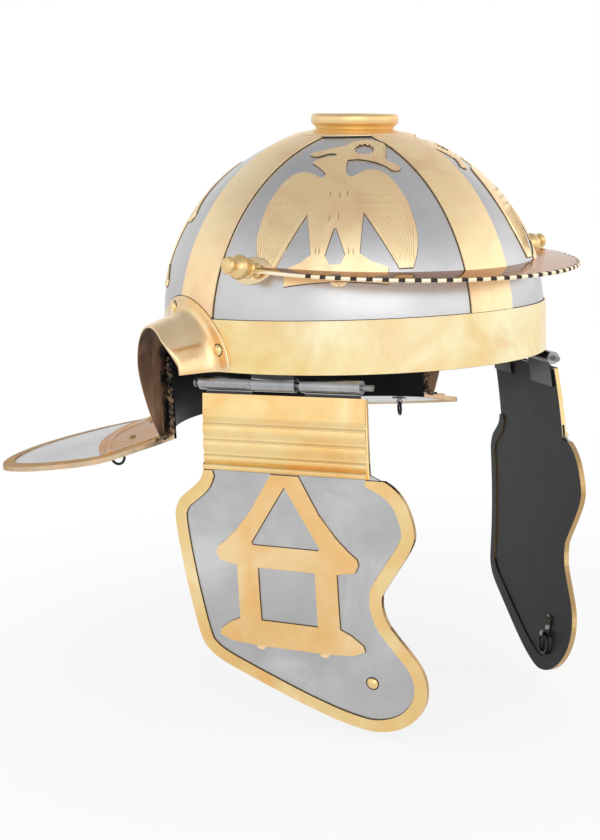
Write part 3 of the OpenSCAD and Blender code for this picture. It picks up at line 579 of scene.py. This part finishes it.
def ear_guard(side):
    """The guard's section, swept over the ear and then down the rear leg to the neck guard."""
    sign = -1.0 if side == "right" else 1.0
    # Offset from the edge of the opening, and height over the bowl or part of the way to the lip's end
    outer = [(FLANGE_W, 0.15), (FLANGE_W, 1.15), (12.6, 1.45), (11.5, 1.5), (9.5, 1.5), (7.8, 1.55), (6.4, 1.9),
             (5.2, 2.7), (4.2, 3.9), (3.5, 5.4), (3.0, LIP_ROOT)]
    lip = [(2.6, 0.2), (2.3, 0.42), (2.0, 0.64), (1.8, 0.82), (1.7, 0.93), (1.55, 0.985), (1.2, 1.0)]
    back = [(0.5, 1.0), (0.15, 0.985), (0.1, 0.9), (0.15, 0.7), (0.3, 0.45), (0.6, 0.2)]
    inner = [(1.1, 6.4), (1.9, 4.2), (2.8, 2.6), (4.2, 1.2), (6.0, 0.3), (9.0, 0.15)]
    rows = [(o, h, 0) for o, h in outer] + [(o, t, 1) for o, t in lip + back] + [(o, h, 0) for o, h in inner]
    n_arc, n_leg = 64, 16
    verts, deep = [], []
    for u in range(n_arc + n_leg + 1):
        a = math.pi * min(u, n_arc) / n_arc
        leg = max(u - n_arc, 0) / n_leg
        for off, h, kind in rows:
            x = EAR_X + (EAR_R + off) * math.cos(a)
            z = (EAR_R + off) * math.sin(a)
            d = EAR_X + EAR_R - x
            # The lip reaches out quickly behind the front corner, then draws back, most of all down the leg
            swell = 4.2 * (1 - math.exp(-max(d, 0) / 2.5)) - 0.3 * max(d - 8, 0)
            end = DOME_R + LIP_REACH + swell - 12 * leg ** 1.5
            drop = 0.0
            for _ in range(3 if leg else 1):  # on the leg, height and side depend on each other
                base = dome_y(x, z)
                if kind:
                    y = base + LIP_ROOT + (end - base - LIP_ROOT) * h
                    drop = 2.6 * h ** 1.6 * math.sin(a)
                else:
                    y = base + h
                if leg:
                    z = leg * neck_height(x, y)
            verts.append((x * OVAL, sign * y, z - drop))
            deep.append(min(max((end - y) / 20.0, 0.0), 1.0) if kind else 1.0)
    n = len(rows)
    faces, looks = [], []
    first_inner = len(outer) + len(lip)
    for u in range(n_arc + n_leg):
        for k in range(n):
            k2 = (k + 1) % n
            faces.append((u * n + k, (u + 1) * n + k, (u + 1) * n + k2, u * n + k2))
            looks.append(1 if first_inner <= k < n - 1 else 0)
    faces.append(tuple(range(n))[::-1])
    faces.append(tuple((n_arc + n_leg) * n + k for k in range(n)))
    looks += [0, 0]
    ob = piece("ear_guard_swept_" + side, verts, faces, [M["ear"], M["tarnish"]], "helmet",
               face_mats=looks, crease=50)
    attr = ob.data.attributes.new("deep", "FLOAT", "POINT")
    for i, v in enumerate(deep):
        attr.data[i].value = v
    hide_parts("ear_guard_" + side)
    ear_joint(side, sign)


def ear_joint(side, sign):
    """Blackened solder lumps along the root of the rear leg, and a dark line of painted shade round the flange.
    """
    lumps = []
    for i in range(46):
        t = i / 45
        x = EAR_X - EAR_R + 0.7 + 0.5 * math.sin(i * 2.1)
        y = dome_y(x, 0) + 1.6 + 0.9 * math.sin(i * 1.7)
        lumps.append((x * OVAL, sign * y, 2 + t * (neck_height(x, y) - 2)))
    for i in range(9):
        x = EAR_X - EAR_R + 1.0 - 0.2 * i
        y = dome_y(x, 0) + 2 + 1.2 * i
        lumps.append((x * OVAL, sign * y, neck_height(x, y) + 0.2 * math.sin(i * 2.7)))
    lump_piece("solder_" + side, lumps, 0.55, 1.35)
    # A dark line of painted shade in the seam round the flange.
    line = []
    r = EAR_R + FLANGE_W + 0.15
    for u in range(65):
        a = math.pi * u / 64
        x, z = EAR_X + r * math.cos(a), r * math.sin(a)
        line.append((x * OVAL, sign * (dome_y(x, z) + 0.5), z))
    tube("seam_ear_" + side, [line], 0.45, M["gap"], "helmet", sides=5)


def lump_piece(name, points, low, high):
    """Small uneven beads of solder, run together."""
    bm = bmesh.new()
    for i, p in enumerate(points):
        r = (low + (high - low) * (0.5 + 0.5 * math.sin(i * 5.3))) * MM
        m = Matrix.Translation(Vector(p) * MM) @ Matrix.Diagonal((1.0, 0.8, 1.25, 1))
        bmesh.ops.create_icosphere(bm, subdivisions=2, radius=r, matrix=m)
    for v in bm.verts:
        w = math.sin(v.co.x * 4100) * math.sin(v.co.y * 3700 + 1) * math.sin(v.co.z * 4300 + 2)
        v.co += v.normal * (w * 0.00035)
    me = bpy.data.meshes.new(name)
    bm.to_mesh(me)
    bm.free()
    me.materials.append(M["solder"])
    for p in me.polygons:
        p.use_smooth = True
    ob = bpy.data.objects.new(name, me)
    bpy.context.scene.collection.objects.link(ob)
    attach(ob, "helmet")


ear_guard("right")
ear_guard("left")

# ---- Crown: flared plate on the bowl, and the round socket ----
CROWN = Matrix.Translation((0, 0, DOME_Z)) @ Matrix.Rotation(math.radians(CROWN_LEAN), 4, "Y")


def bowl_height(r, t, lift):
    """Height in the leaning crown frame at which radius r meets the bowl, raised by lift."""
    x, y = r * math.cos(t), r * math.sin(t)
    return bisect(60.0, 120.0, 30, lambda z: dome_distance(CROWN @ Vector((x, y, z))) <= DOME_R + lift)


def lathe(name, profile, frame_matrix, mat, body, steps=96, crease=40, closed=True):
    """A turned piece: profile points are (radius, height) or (radius, function of the angle)."""
    verts, faces = [], []
    n = len(profile)
    for k in range(steps):
        t = 2 * math.pi * k / steps
        for r, h in profile:
            z = h(t) if callable(h) else h
            verts.append(frame_matrix @ Vector((r * math.cos(t), r * math.sin(t), z)))
    for k in range(steps):
        k2 = (k + 1) % steps
        for i in range(n if closed else n - 1):
            j = (i + 1) % n
            faces.append((k * n + i, k2 * n + i, k2 * n + j, k * n + j))
    return piece(name, verts, faces, mat, body, crease=crease)


def over(r, lift):
    """A profile point that follows the bowl, raised by lift."""
    return (r, lambda t: bowl_height(r, t, lift))


def blend_up(r, lift, level, share):
    """A profile point part of the way from the bowl to a flat level."""
    return (r, lambda t: bowl_height(r, t, lift) * (1 - share) + level * share)


T0 = CROWN_TOP
plate = [over(15, 0.3), over(24, 0.25), over(CROWN_R, 0.15), over(CROWN_R, 0.8), over(33.7, 1.15),
         over(33.2, 1.3), blend_up(30.5, 1.9, T0 - 4.2, 0.5), blend_up(27.5, 2.0, T0 - 3.0, 0.85),
         (25.2, T0 - 2.4), (23.2, T0 - 1.9), (22.0, T0 - 1.6), (21.2, T0 - 1.3), (20.8, T0 - 1.2),
         (15, T0 - 1.2)]
ob = lathe("crown_plate_flared", plate, CROWN, M["pale"], "helmet")
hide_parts("crown_plate")
cap = [(STEM_R, T0 + 1.2), (STEM_R, T0 + 6.5), (5.5, T0 + 6.9), (12, T0 + 6.95), (19.5, T0 + 6.95),
       (21.8, T0 + 7.0), (23.0, T0 + 6.75), (23.7, T0 + 6.2), (24.15, T0 + 5.3), (24.3, T0 + 4.2),
       (24.3, T0 + 2.6), (24.15, T0 + 1.9), (23.7, T0 + 1.45), (23.0, T0 + 1.0), (22.3, T0 + 0.4),
       (21.7, T0 - 0.4), (21.35, T0 - 1.2), (20.6, T0 - 1.5), (20.4, T0 + 0.6), (3, T0 + 0.6),
       (0.4, T0 + 0.6), (0.4, T0 + 1.2)]
ob = lathe("crest_socket_turned", cap, CROWN, M["cap"], "helmet")
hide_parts("crest_socket")
# A dark ring of painted shade in the gap round the crown plate's foot.
rim = []
r = CROWN_R - 0.3
for k in range(96):
    t = 2 * math.pi * k / 96
    rim.append(CROWN @ Vector((r * math.cos(t), r * math.sin(t), bowl_height(r, t, 0.25))))
tube("seam_crown", [rim], 0.5, M["gap"], "helmet", closed=True, sides=5)


# ---- Brow guard: polished plate with a notched, rounded edge ----
def guard_point(x, y, z):
    """A point of the guard's own flat frame, tilted down to the front."""
    slope = math.radians(GUARD_SLOPE)
    dx = x + GUARD_X - KNOB_X
    return Vector((KNOB_X + dx * math.cos(slope) + z * math.sin(slope), y,
                   GUARD_Z - dx * math.sin(slope) + z * math.cos(slope)))


def guard_foot(c, s, z):
    """Distance from the middle of the guard's curve at which a ray along c, s meets the bowl."""
    return bisect(5.0, GUARD_R - 1, 26, lambda r: dome_distance(guard_point(r * c, r * s, z)) < DOME_R + 0.2)


def brow_guard():
    """The crescent plate: a section that starts on the bowl, led round the notched edge."""
    # Points round the edge: the angle, and the step within a notch or 0 between the notches
    rim = []
    step = NOTCH_PITCH / GUARD_R
    half = 2 * math.asin(NOTCH_R / 2 / GUARD_R)
    last = -GUARD_END
    for i in range(-NOTCH_SIDE, NOTCH_SIDE + 1):
        a = (i + NOTCH_SHIFT) * step
        n = max(2, int((a - half - last) / math.radians(1.2)))
        rim += [(last + (a - half - last) * k / n, 0) for k in range(n)]
        rim += [(a, k) for k in range(1, 12)]
        last = a + half
    rim += [(last + (GUARD_END - last) * k / 16, 0) for k in range(17)]
    h = GUARD_T / 2
    section = [(-1.0, h), (-0.25, h - 0.12), (0, h - 0.5), (0, 0.5 - h), (-0.25, 0.12 - h), (-1.0, -h)]
    verts, faces, looks = [], [], []
    for a, k in rim:
        if k:
            t = a - math.pi / 2 - math.pi * k / 12
            x = GUARD_R * math.cos(a) + NOTCH_R * math.cos(t)
            y = GUARD_R * math.sin(a) + NOTCH_R * math.sin(t)
        else:
            x, y = GUARD_R * math.cos(a), GUARD_R * math.sin(a)
        r = math.hypot(x, y)
        c, d = x / r, y / r
        top, low = guard_foot(c, d, h), guard_foot(c, d, -h)
        verts.append(guard_point(top * c, top * d, h))
        verts += [guard_point((r + o) * c, (r + o) * d, z) for o, z in section]
        verts.append(guard_point(low * c, low * d, -h))
    n = len(section) + 2
    for i in range(len(rim) - 1):
        # The walls of the notches take the near-black gap colour: painted shade inside the notches.
        dark = rim[i][1] and rim[i + 1][1]
        for k in range(n):
            k2 = (k + 1) % n
            faces.append((i * n + k, (i + 1) * n + k, (i + 1) * n + k2, i * n + k2))
            looks.append((2 if dark else 1) if 0 < k < n - 2 else 0)
    faces += [tuple(range(n))[::-1], tuple((len(rim) - 1) * n + k for k in range(n))]
    looks += [1, 1]
    ob = piece("brow_guard_notched", verts, faces, [M["guard"], M["edge"], M["gap"]], "helmet",
               face_mats=looks, crease=35)
    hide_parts("brow_guard")


brow_guard()


# ---- Small plates that lie on the bowl ----
def bowl_plate(name, outline, low, high, mat, body="helmet"):
    """A thin plate with a rounded edge; the outline's points are functions of the height over the surface."""
    n = len(outline)
    verts = [p(low) for p in outline] + [p(high - 0.35) for p in outline]
    mid = sum((p(high) for p in outline), Vector()) / n
    verts += [p(high) * 0.93 + mid * 0.07 for p in outline] + [mid]
    faces = []
    for k in range(n):
        k2 = (k + 1) % n
        faces += [(k, k2, n + k2, n + k), (n + k, n + k2, 2 * n + k2, 2 * n + k), (2 * n + k, 2 * n + k2, 3 * n)]
    faces.append(tuple(range(n))[::-1])
    return piece(name, verts, faces, mat, body, crease=60)


def half_round(x, y, half, deep, n):
    """Points of half an oval that stands on a line through x, y."""
    turns = [math.pi * k / n for k in range(n + 1)]
    return [(x - half * math.cos(t), y + deep * math.sin(t)) for t in turns]


def side_point(x, z, sign):
    """A point on the side of the dome, as a function of the height over it."""
    return lambda lift: Vector((x * OVAL, sign * math.sqrt((DOME_R + lift) ** 2 - (z - DOME_Z) ** 2 - x * x), z))


# Knob profile: radius, and distance in from the tip along an axis that sinks a little towards the bowl
KNOB = [(0.2, 0.0), (3.2, 0.1), (4.0, 0.45), (4.35, 1.0), (4.4, 1.7), (4.0, 2.5), (3.0, 3.1), (2.4, 3.6),
        (2.3, 4.1), (2.9, 4.6), (4.5, 5.3), (5.7, 6.4), (6.25, 7.8), (6.25, 9.2), (5.7, 10.7), (4.8, 12.0),
        (4.0, 13.0), (3.7, 13.5), (4.6, 13.9), (5.1, 14.5), (5.0, 15.2), (4.2, 15.7), (3.1, 16.1),
        (2.8, 17.4), (3.1, 19.2), (3.9, 20.4), (0.2, 20.6)]
for sign, side in ((-1, "right"), (1, "left")):
    axis = Vector((-0.1, -sign * 0.972, -0.2)).normalized()
    turn = axis.to_track_quat("Z", "Y").to_matrix().to_4x4()
    place = Matrix.Translation((KNOB_X - 3.2, sign * 114.2, KNOB_Z + 0.2)) @ turn
    ob = lathe("brow_knob_turned_" + side, KNOB, place, M["cap"], "helmet",
               steps=48, crease=50, closed=False)
    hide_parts("brow_knob_" + side)
    lobe = []
    for k in range(24):
        t = math.radians(15 * k)
        lobe.append(side_point(KNOB_X / OVAL - 8.4 + 10 * math.cos(t), 52.0 + 6.8 * math.sin(t), sign))
    bowl_plate("knob_foot_" + side, lobe, 0.1, 1.7, M["ear"])

# ---- Engraving on the eagle, drawn on the plane that touches the dome ----
EAGLE = Matrix.Rotation(math.radians(-46), 4, "Z") @ Matrix.Rotation(math.radians(53), 4, "Y") \
    @ Matrix.Rotation(math.radians(90), 4, "Z")


def eagle_point(u, v, mirrored, lift):
    """A point over the dome from a place on the eagle's plane."""
    r = DOME_R + lift
    p = EAGLE @ Vector((u, v, math.sqrt(r * r - u * u - v * v)))
    p = Vector((p.x * OVAL, p.y, p.z + DOME_Z))
    return Vector((p.x, -p.y, p.z)) if mirrored else p


def engrave(name, lines, mirrored, width, mat):
    """Thin wires that follow the dome along lines of the eagle's plane."""
    out = []
    for line in lines:
        pts = []
        for (u0, v0), (u1, v1) in zip(line, line[1:]):
            n = max(1, int(math.hypot(u1 - u0, v1 - v0) / 1.5))
            pts += [(u0 + (u1 - u0) * k / n, v0 + (v1 - v0) * k / n) for k in range(n)]
        pts.append(line[-1])
        out.append([eagle_point(u, v, mirrored, 0.80) for u, v in pts])
    tube(name, out, width, M[mat], "helmet", sides=5)


def arc(cx, cy, r, a0, a1, n):
    turns = [math.radians(a0 + (a1 - a0) * k / n) for k in range(n + 1)]
    return [(cx + r * math.cos(t), cy + r * math.sin(t)) for t in turns]


def fan(start, end, n, bow):
    """Lines from points between start's two ends to points between end's two ends."""
    out = []
    for k in range(n):
        f = k / (n - 1)
        p = [start[0][i] + (start[1][i] - start[0][i]) * f for i in (0, 1)]
        q = [end[0][i] + (end[1][i] - end[0][i]) * f for i in (0, 1)]
        line = []
        for j in range(7):
            t = (j + 0.5 * math.sin(k * 2.3)) / 6.5
            t = min(max(t, 0), 1)
            line.append((p[0] + (q[0] - p[0]) * t + bow * math.sin(math.pi * t), p[1] + (q[1] - p[1]) * t))
        out.append(line)
    return out


def scallops(x0, x1, y0, y1, n, r):
    """A row of short arcs, like the ends of small feathers."""
    out = []
    for k in range(n):
        f = (k + 0.5) / n
        x, y = x0 + (x1 - x0) * f, y0 + (y1 - y0) * f + 0.5 * math.sin(k * 2.9)
        a = 195 + 12 * math.sin(k * 1.7)
        out.append(arc(x, y, r, a, a + 130, 4))
    return out


def eagle_lines():
    """Fine lines (feathers, leaves) and dashes (breast, legs, teeth of the wreath) on the eagle."""
    fine, dashes = [], []
    # Flight feathers
    fine += fan(((-36.2, -5.0), (-17.5, -6.0)), ((-38.2, -25.5), (-31.0, -30.6)), 11, -0.6)
    fine += fan(((16.8, -6.0), (36.0, -5.0)), ((29.0, -30.6), (37.0, -29.6)), 12, 0.8)
    # Coverts over the shoulders
    fine += scallops(-25.5, -12.0, 9.7, 8.8, 5, 1.5) + scallops(-29.0, -14.0, 5.1, 3.2, 6, 1.6)
    fine += scallops(-31.0, -13.8, -0.8, -3.2, 7, 1.5)
    fine += scallops(11.6, 26.0, 6.4, 7.4, 6, 1.5) + scallops(11.4, 29.0, 1.5, 3.1, 7, 1.6)
    fine += scallops(13.6, 31.0, -3.0, -0.7, 7, 1.5)
    fine += [[(-31.5 + 3.2 * k, -4.6 + 0.5 * math.sin(k)), (-32.2 + 3.2 * k, -7.2)] for k in range(6)]
    fine += [[(15.5 + 3.2 * k, -5.2 + 0.4 * math.sin(k)), (16.4 + 3.2 * k, -7.8)] for k in range(6)]
    # Breast, belly, legs and feet
    for (x0, y0), (x1, y1) in (((-2.5, 8), (-2.9, 4.2)), ((2.2, 7.6), (1.8, 3.0)), ((5.6, 8), (5.8, 3.8)),
                               ((-2.5, -6.6), (-3.3, -10.6)), ((1.5, -5.6), (1.6, -9.8)),
                               ((-9.4, -24.2), (-9.4, -27.6)), ((-7.7, -24), (-7.8, -28)),
                               ((6.3, -24.4), (6.5, -28)), ((8.6, -25), (8.8, -28.4))):
        dashes.append([(x0, y0), ((x0 + x1) / 2 + 0.15, (y0 + y1) / 2), (x1, y1)])
    for x, y in ((-10.7, -14), (-8.5, -14.2), (-6.6, -13.8), (4.2, -13.4), (6.3, -13.1), (8.2, -13.6)):
        fine.append([(x, y), (x - 0.4, y - 2.8)])
    fine.append([(-4.4, 17.2), (0.0, 15.8), (4.4, 17.2)])
    fine.append([(-0.6, 27.6), (0.6, 26.4), (2.0, 27.4)])
    # Toothed edge of the wreath
    for k in range(7):
        y = 33.6 + 1.75 * k
        dashes.append([(22.4 + 0.35 * math.sin(k), y), (24.1 + 0.2 * math.sin(k), y + 0.7)])
    # Leaves of the wreath
    for x, y, d in ((-9, 38, 20), (-3, 39.6, 25), (4, 42, 40), (3.4, 34.2, 160), (9, 33.2, 170), (18.6, 33, 140),
                    (24.2, 29.4, 130), (9, 44.6, 30), (19.8, 43.6, 120)):
        c, s = math.cos(math.radians(d)), math.sin(math.radians(d))
        fine.append([(x - 1.7 * c, y - 1.7 * s), (x, y + 0.4), (x + 1.7 * c, y + 1.7 * s)])
    return fine, dashes


def wing_tip(side):
    """Tip of the wing that runs on to the knob's foot: a grid of n by n points, top skin and under skin."""
    verts, faces, n = [], [], 9
    for lift in (0.8, 0.05):
        for i in range(n):
            f = i / (n - 1)
            u0, v0, u1, v1 = -38.9 + 2.2 * f * f, -19 - 12.4 * f, -22.2 - 8.4 * f, -19 - 13.7 * f
            for k in range(n):
                u, v = u0 + (u1 - u0) * k / (n - 1), v0 + (v1 - v0) * k / (n - 1)
                verts.append(eagle_point(u, v, side == "left", lift))
    under = n * n
    for i in range(n - 1):
        for k in range(n - 1):
            a = i * n + k
            faces += [(a, a + 1, a + n + 1, a + n), (under + a, under + a + n, under + a + n + 1, under + a + 1)]
        for a, b in ((i, i + 1), (under - n + i, under - n + i + 1), (i * n, i * n + n),
                     (i * n + n - 1, i * n + 2 * n - 1)):
            faces.append((a, b, b + under, a + under))
    piece("eagle_wing_tip_" + side, verts, faces, M["pale"], "helmet", crease=50)


for side in ("right", "left"):
    fine, dashes = eagle_lines()
    engrave("eagle_feather_lines_" + side, fine, side == "left", 0.13, "engraved")
    engrave("eagle_dashes_" + side, dashes, side == "left", 0.19, "dash")
    wing_tip(side)
    tab = half_round(1.6, -41.2, 4.0, -2.2, 12)
    bowl_plate("eagle_tab_" + side,
               [(lambda lift, u=u, v=v: eagle_point(u, v, side == "left", lift)) for u, v in tab],
               0.1, 0.9, M["pale"])

# ---- Tabs at the foot of the cheek temples ----
for side in ("right", "left"):
    for i, x0 in enumerate((35.0, 72.0)):
        tab = half_round(x0, 137.2, 3.2, 2.6, 10)
        bowl_plate("temple_tab_%d_%s" % (i + 1, side),
                   [(lambda lift, x=x, h=h: cheek_world(x, h, lift, side)) for x, h in tab],
                   0.05, 0.8, M["pale"], "cheek_piece_" + side)


# ---- Folded front hem of the ribbed panels ----
def front_edge(node, side, low, high):
    """Largest x of a node, in the hinge frame, between two heights."""
    pts = [cheek_local(v.co, side) for v in nodes[node].data.vertices]
    return max(q.x for q in pts if low <= q.z <= high)


def panel_hem(side):
    """A strip folded round the plate's front edge, from the panel's edge at its top to that at its foot."""
    panel, plate = "cheek_panel_" + side, "cheek_plate_" + side
    ends = [(front_edge(panel, side, -12, 0), front_edge(plate, side, -12, -1), 5.6),
            (front_edge(panel, side, -45, -38), front_edge(plate, side, -42, -36), 44.2)]
    steps, n = 12, 7
    verts, faces = [], []
    for k in range(steps + 1):
        f = k / steps
        x0, x1, h = (a + (b - a) * f for a, b in zip(*ends))
        section = [(x0 - 0.1, 0.06), (x0 - 0.1, 0.9), (x1 + 0.2, 0.9), (x1 + 0.5, 0.6), (x1 + 0.5, -1.4),
                   (x1 + 0.05, -1.4), (x1 + 0.05, 0.06)]
        verts += [cheek_world(x, h, lift, side) for x, lift in section]
    for k in range(steps):
        for i in range(n):
            j = (i + 1) % n
            faces.append((k * n + i, k * n + j, (k + 1) * n + j, (k + 1) * n + i))
    faces += [tuple(range(n))[::-1], tuple(steps * n + i for i in range(n))]
    piece("panel_hem_" + side, verts, faces, M["ribbed"], "cheek_piece_" + side, crease=30)


panel_hem("right")
panel_hem("left")

# ---- Rolled seams of the hinge knuckles ----
# Knuckle, its ends along the pin, its radius, and the place of the seam round the pin in degrees
KNUCKLES = (("leaf", 34.0, 58.0, 3.72, 138), ("rear", 2.8, 32.4, 3.52, 215), ("front", 62.2, 94.0, 3.52, 215))
for side in ("right", "left"):
    for name, x0, x1, r, degrees in KNUCKLES:
        a = math.radians(degrees)
        y, z = -r * abs(math.cos(a)), r * math.sin(a)
        line = [hinge_world((x0 + (x1 - x0) * k / 12, y, z), side) for k in range(13)]
        body = "helmet" if name == "leaf" else "cheek_piece_" + side
        tube("knuckle_seam_%s_%s" % (name, side), [line], 0.16, M["gap"], body, sides=5)

# ---- Softened edges on the solids that stay ----
for name, width in (("brow_band", 0.2), ("neck_guard_binding", 0.4), ("cheek_binding_right", 0.4),
                    ("cheek_binding_left", 0.4), ("cheek_temple_right", 0.2), ("cheek_temple_left", 0.2),
                    ("carry_handle", 0.4), ("cheek_panel_right", 0.25), ("cheek_panel_left", 0.25)):
    mod = nodes[name].modifiers.new("soft_edge", "BEVEL")
    mod.width = width * MM
    mod.segments = 2
    mod.limit_method = "ANGLE"
    mod.angle_limit = math.radians(50)
    mod.harden_normals = True


# ---- Studio, in metres ----
FLOOR_Z, FLOOR_R = -0.19, 6
MIDDLE = (0, 0, 0.05)


def area(name, loc, sx, sy, power):
    """A rectangular lamp that looks at the middle of the helmet."""
    d = bpy.data.lights.new(name, "AREA")
    d.shape = "RECTANGLE"
    d.size, d.size_y = sx, sy
    d.energy = power
    o = bpy.data.objects.new(name, d)
    bpy.context.scene.collection.objects.link(o)
    o.location = loc
    o.rotation_euler = (Vector(MIDDLE) - Vector(loc)).to_track_quat("-Z", "Y").to_euler()


def sky():
    """Light from all round: white just over the horizon, greyer above, below and to two sides."""
    w = bpy.data.worlds.new("world")
    bpy.context.scene.world = w
    w.use_nodes = True
    nt = w.node_tree
    around = nt.nodes.new("ShaderNodeTexCoord").outputs["Generated"]
    split = nt.nodes.new("ShaderNodeSeparateXYZ")
    nt.links.new(around, split.inputs[0])
    light = ramp(nt, remap(nt, split.outputs["Z"], -1.0, 1.0),
                 [(0.0, (0.5, 0.5, 0.5)), (0.46, (0.66, 0.66, 0.66)), (0.53, (1, 1, 1)), (0.66, (1, 1, 1)),
                  (0.80, (0.61, 0.61, 0.62)), (1.0, (0.43, 0.43, 0.44))])
    # A direction, two places along it, and how much of the light is left at each
    for toward, low, high, at_low, at_high in (((0.61, 0.79, 0), -0.9, 0.2, 0.75, 1.0),
                                               ((-0.79, 0.61, 0), 0.2, 0.9, 1.0, 0.76)):
        along = vector_math(nt, "DOT_PRODUCT", around, toward)
        light = mix(nt, 1.0, light, remap(nt, along, low, high, at_low, at_high), "MULTIPLY")
    path = nt.nodes.new("ShaderNodeLightPath")
    white = math_node(nt, "MAXIMUM", path.outputs["Is Camera Ray"], path.outputs["Is Transmission Ray"])
    background = nt.nodes["Background"]
    nt.links.new(mix(nt, white, light, (1.0, 1.0, 1.0)), background.inputs["Color"])
    nt.links.new(remap(nt, white, 0.0, 1.0, 1.5, 1.0), background.inputs["Strength"])


def white_floor():
    """A floor that looks white, with a soft shadow close to the helmet."""
    m, nt, b = new_material("floor_white")
    b.inputs["Base Color"].default_value = (0.85, 0.85, 0.85, 1)
    b.inputs["Roughness"].default_value = 0.9
    emit = nt.nodes.new("ShaderNodeEmission")
    path = nt.nodes.new("ShaderNodeLightPath")
    seen = math_node(nt, "MAXIMUM", path.outputs["Is Camera Ray"], path.outputs["Is Glossy Ray"])
    seen = math_node(nt, "MAXIMUM", seen, path.outputs["Is Transmission Ray"])
    share = remap(nt, vector_math(nt, "LENGTH", object_coord(nt)), 0.2, 0.45, 0.84, 1.0)
    blend = nt.nodes.new("ShaderNodeMixShader")
    nt.links.new(math_node(nt, "MULTIPLY", seen, share), blend.inputs[0])
    nt.links.new(b.outputs[0], blend.inputs[1])
    nt.links.new(emit.outputs[0], blend.inputs[2])
    nt.links.new(blend.outputs[0], nt.nodes["Material Output"].inputs["Surface"])
    bpy.ops.mesh.primitive_circle_add(radius=FLOOR_R, vertices=96, fill_type="NGON", location=(0, 0, FLOOR_Z))
    floor = bpy.context.object
    floor.name = "floor"
    floor.data.materials.append(m)


make_camera()
sky()
white_floor()
area("key", (1.9, -1.6, 1.1), 2.6, 1.8, 9)
area("side", (-0.6, -2.2, 0.9), 2.4, 1.6, 1.5)
bpy.context.scene.view_settings.view_transform = "Standard"
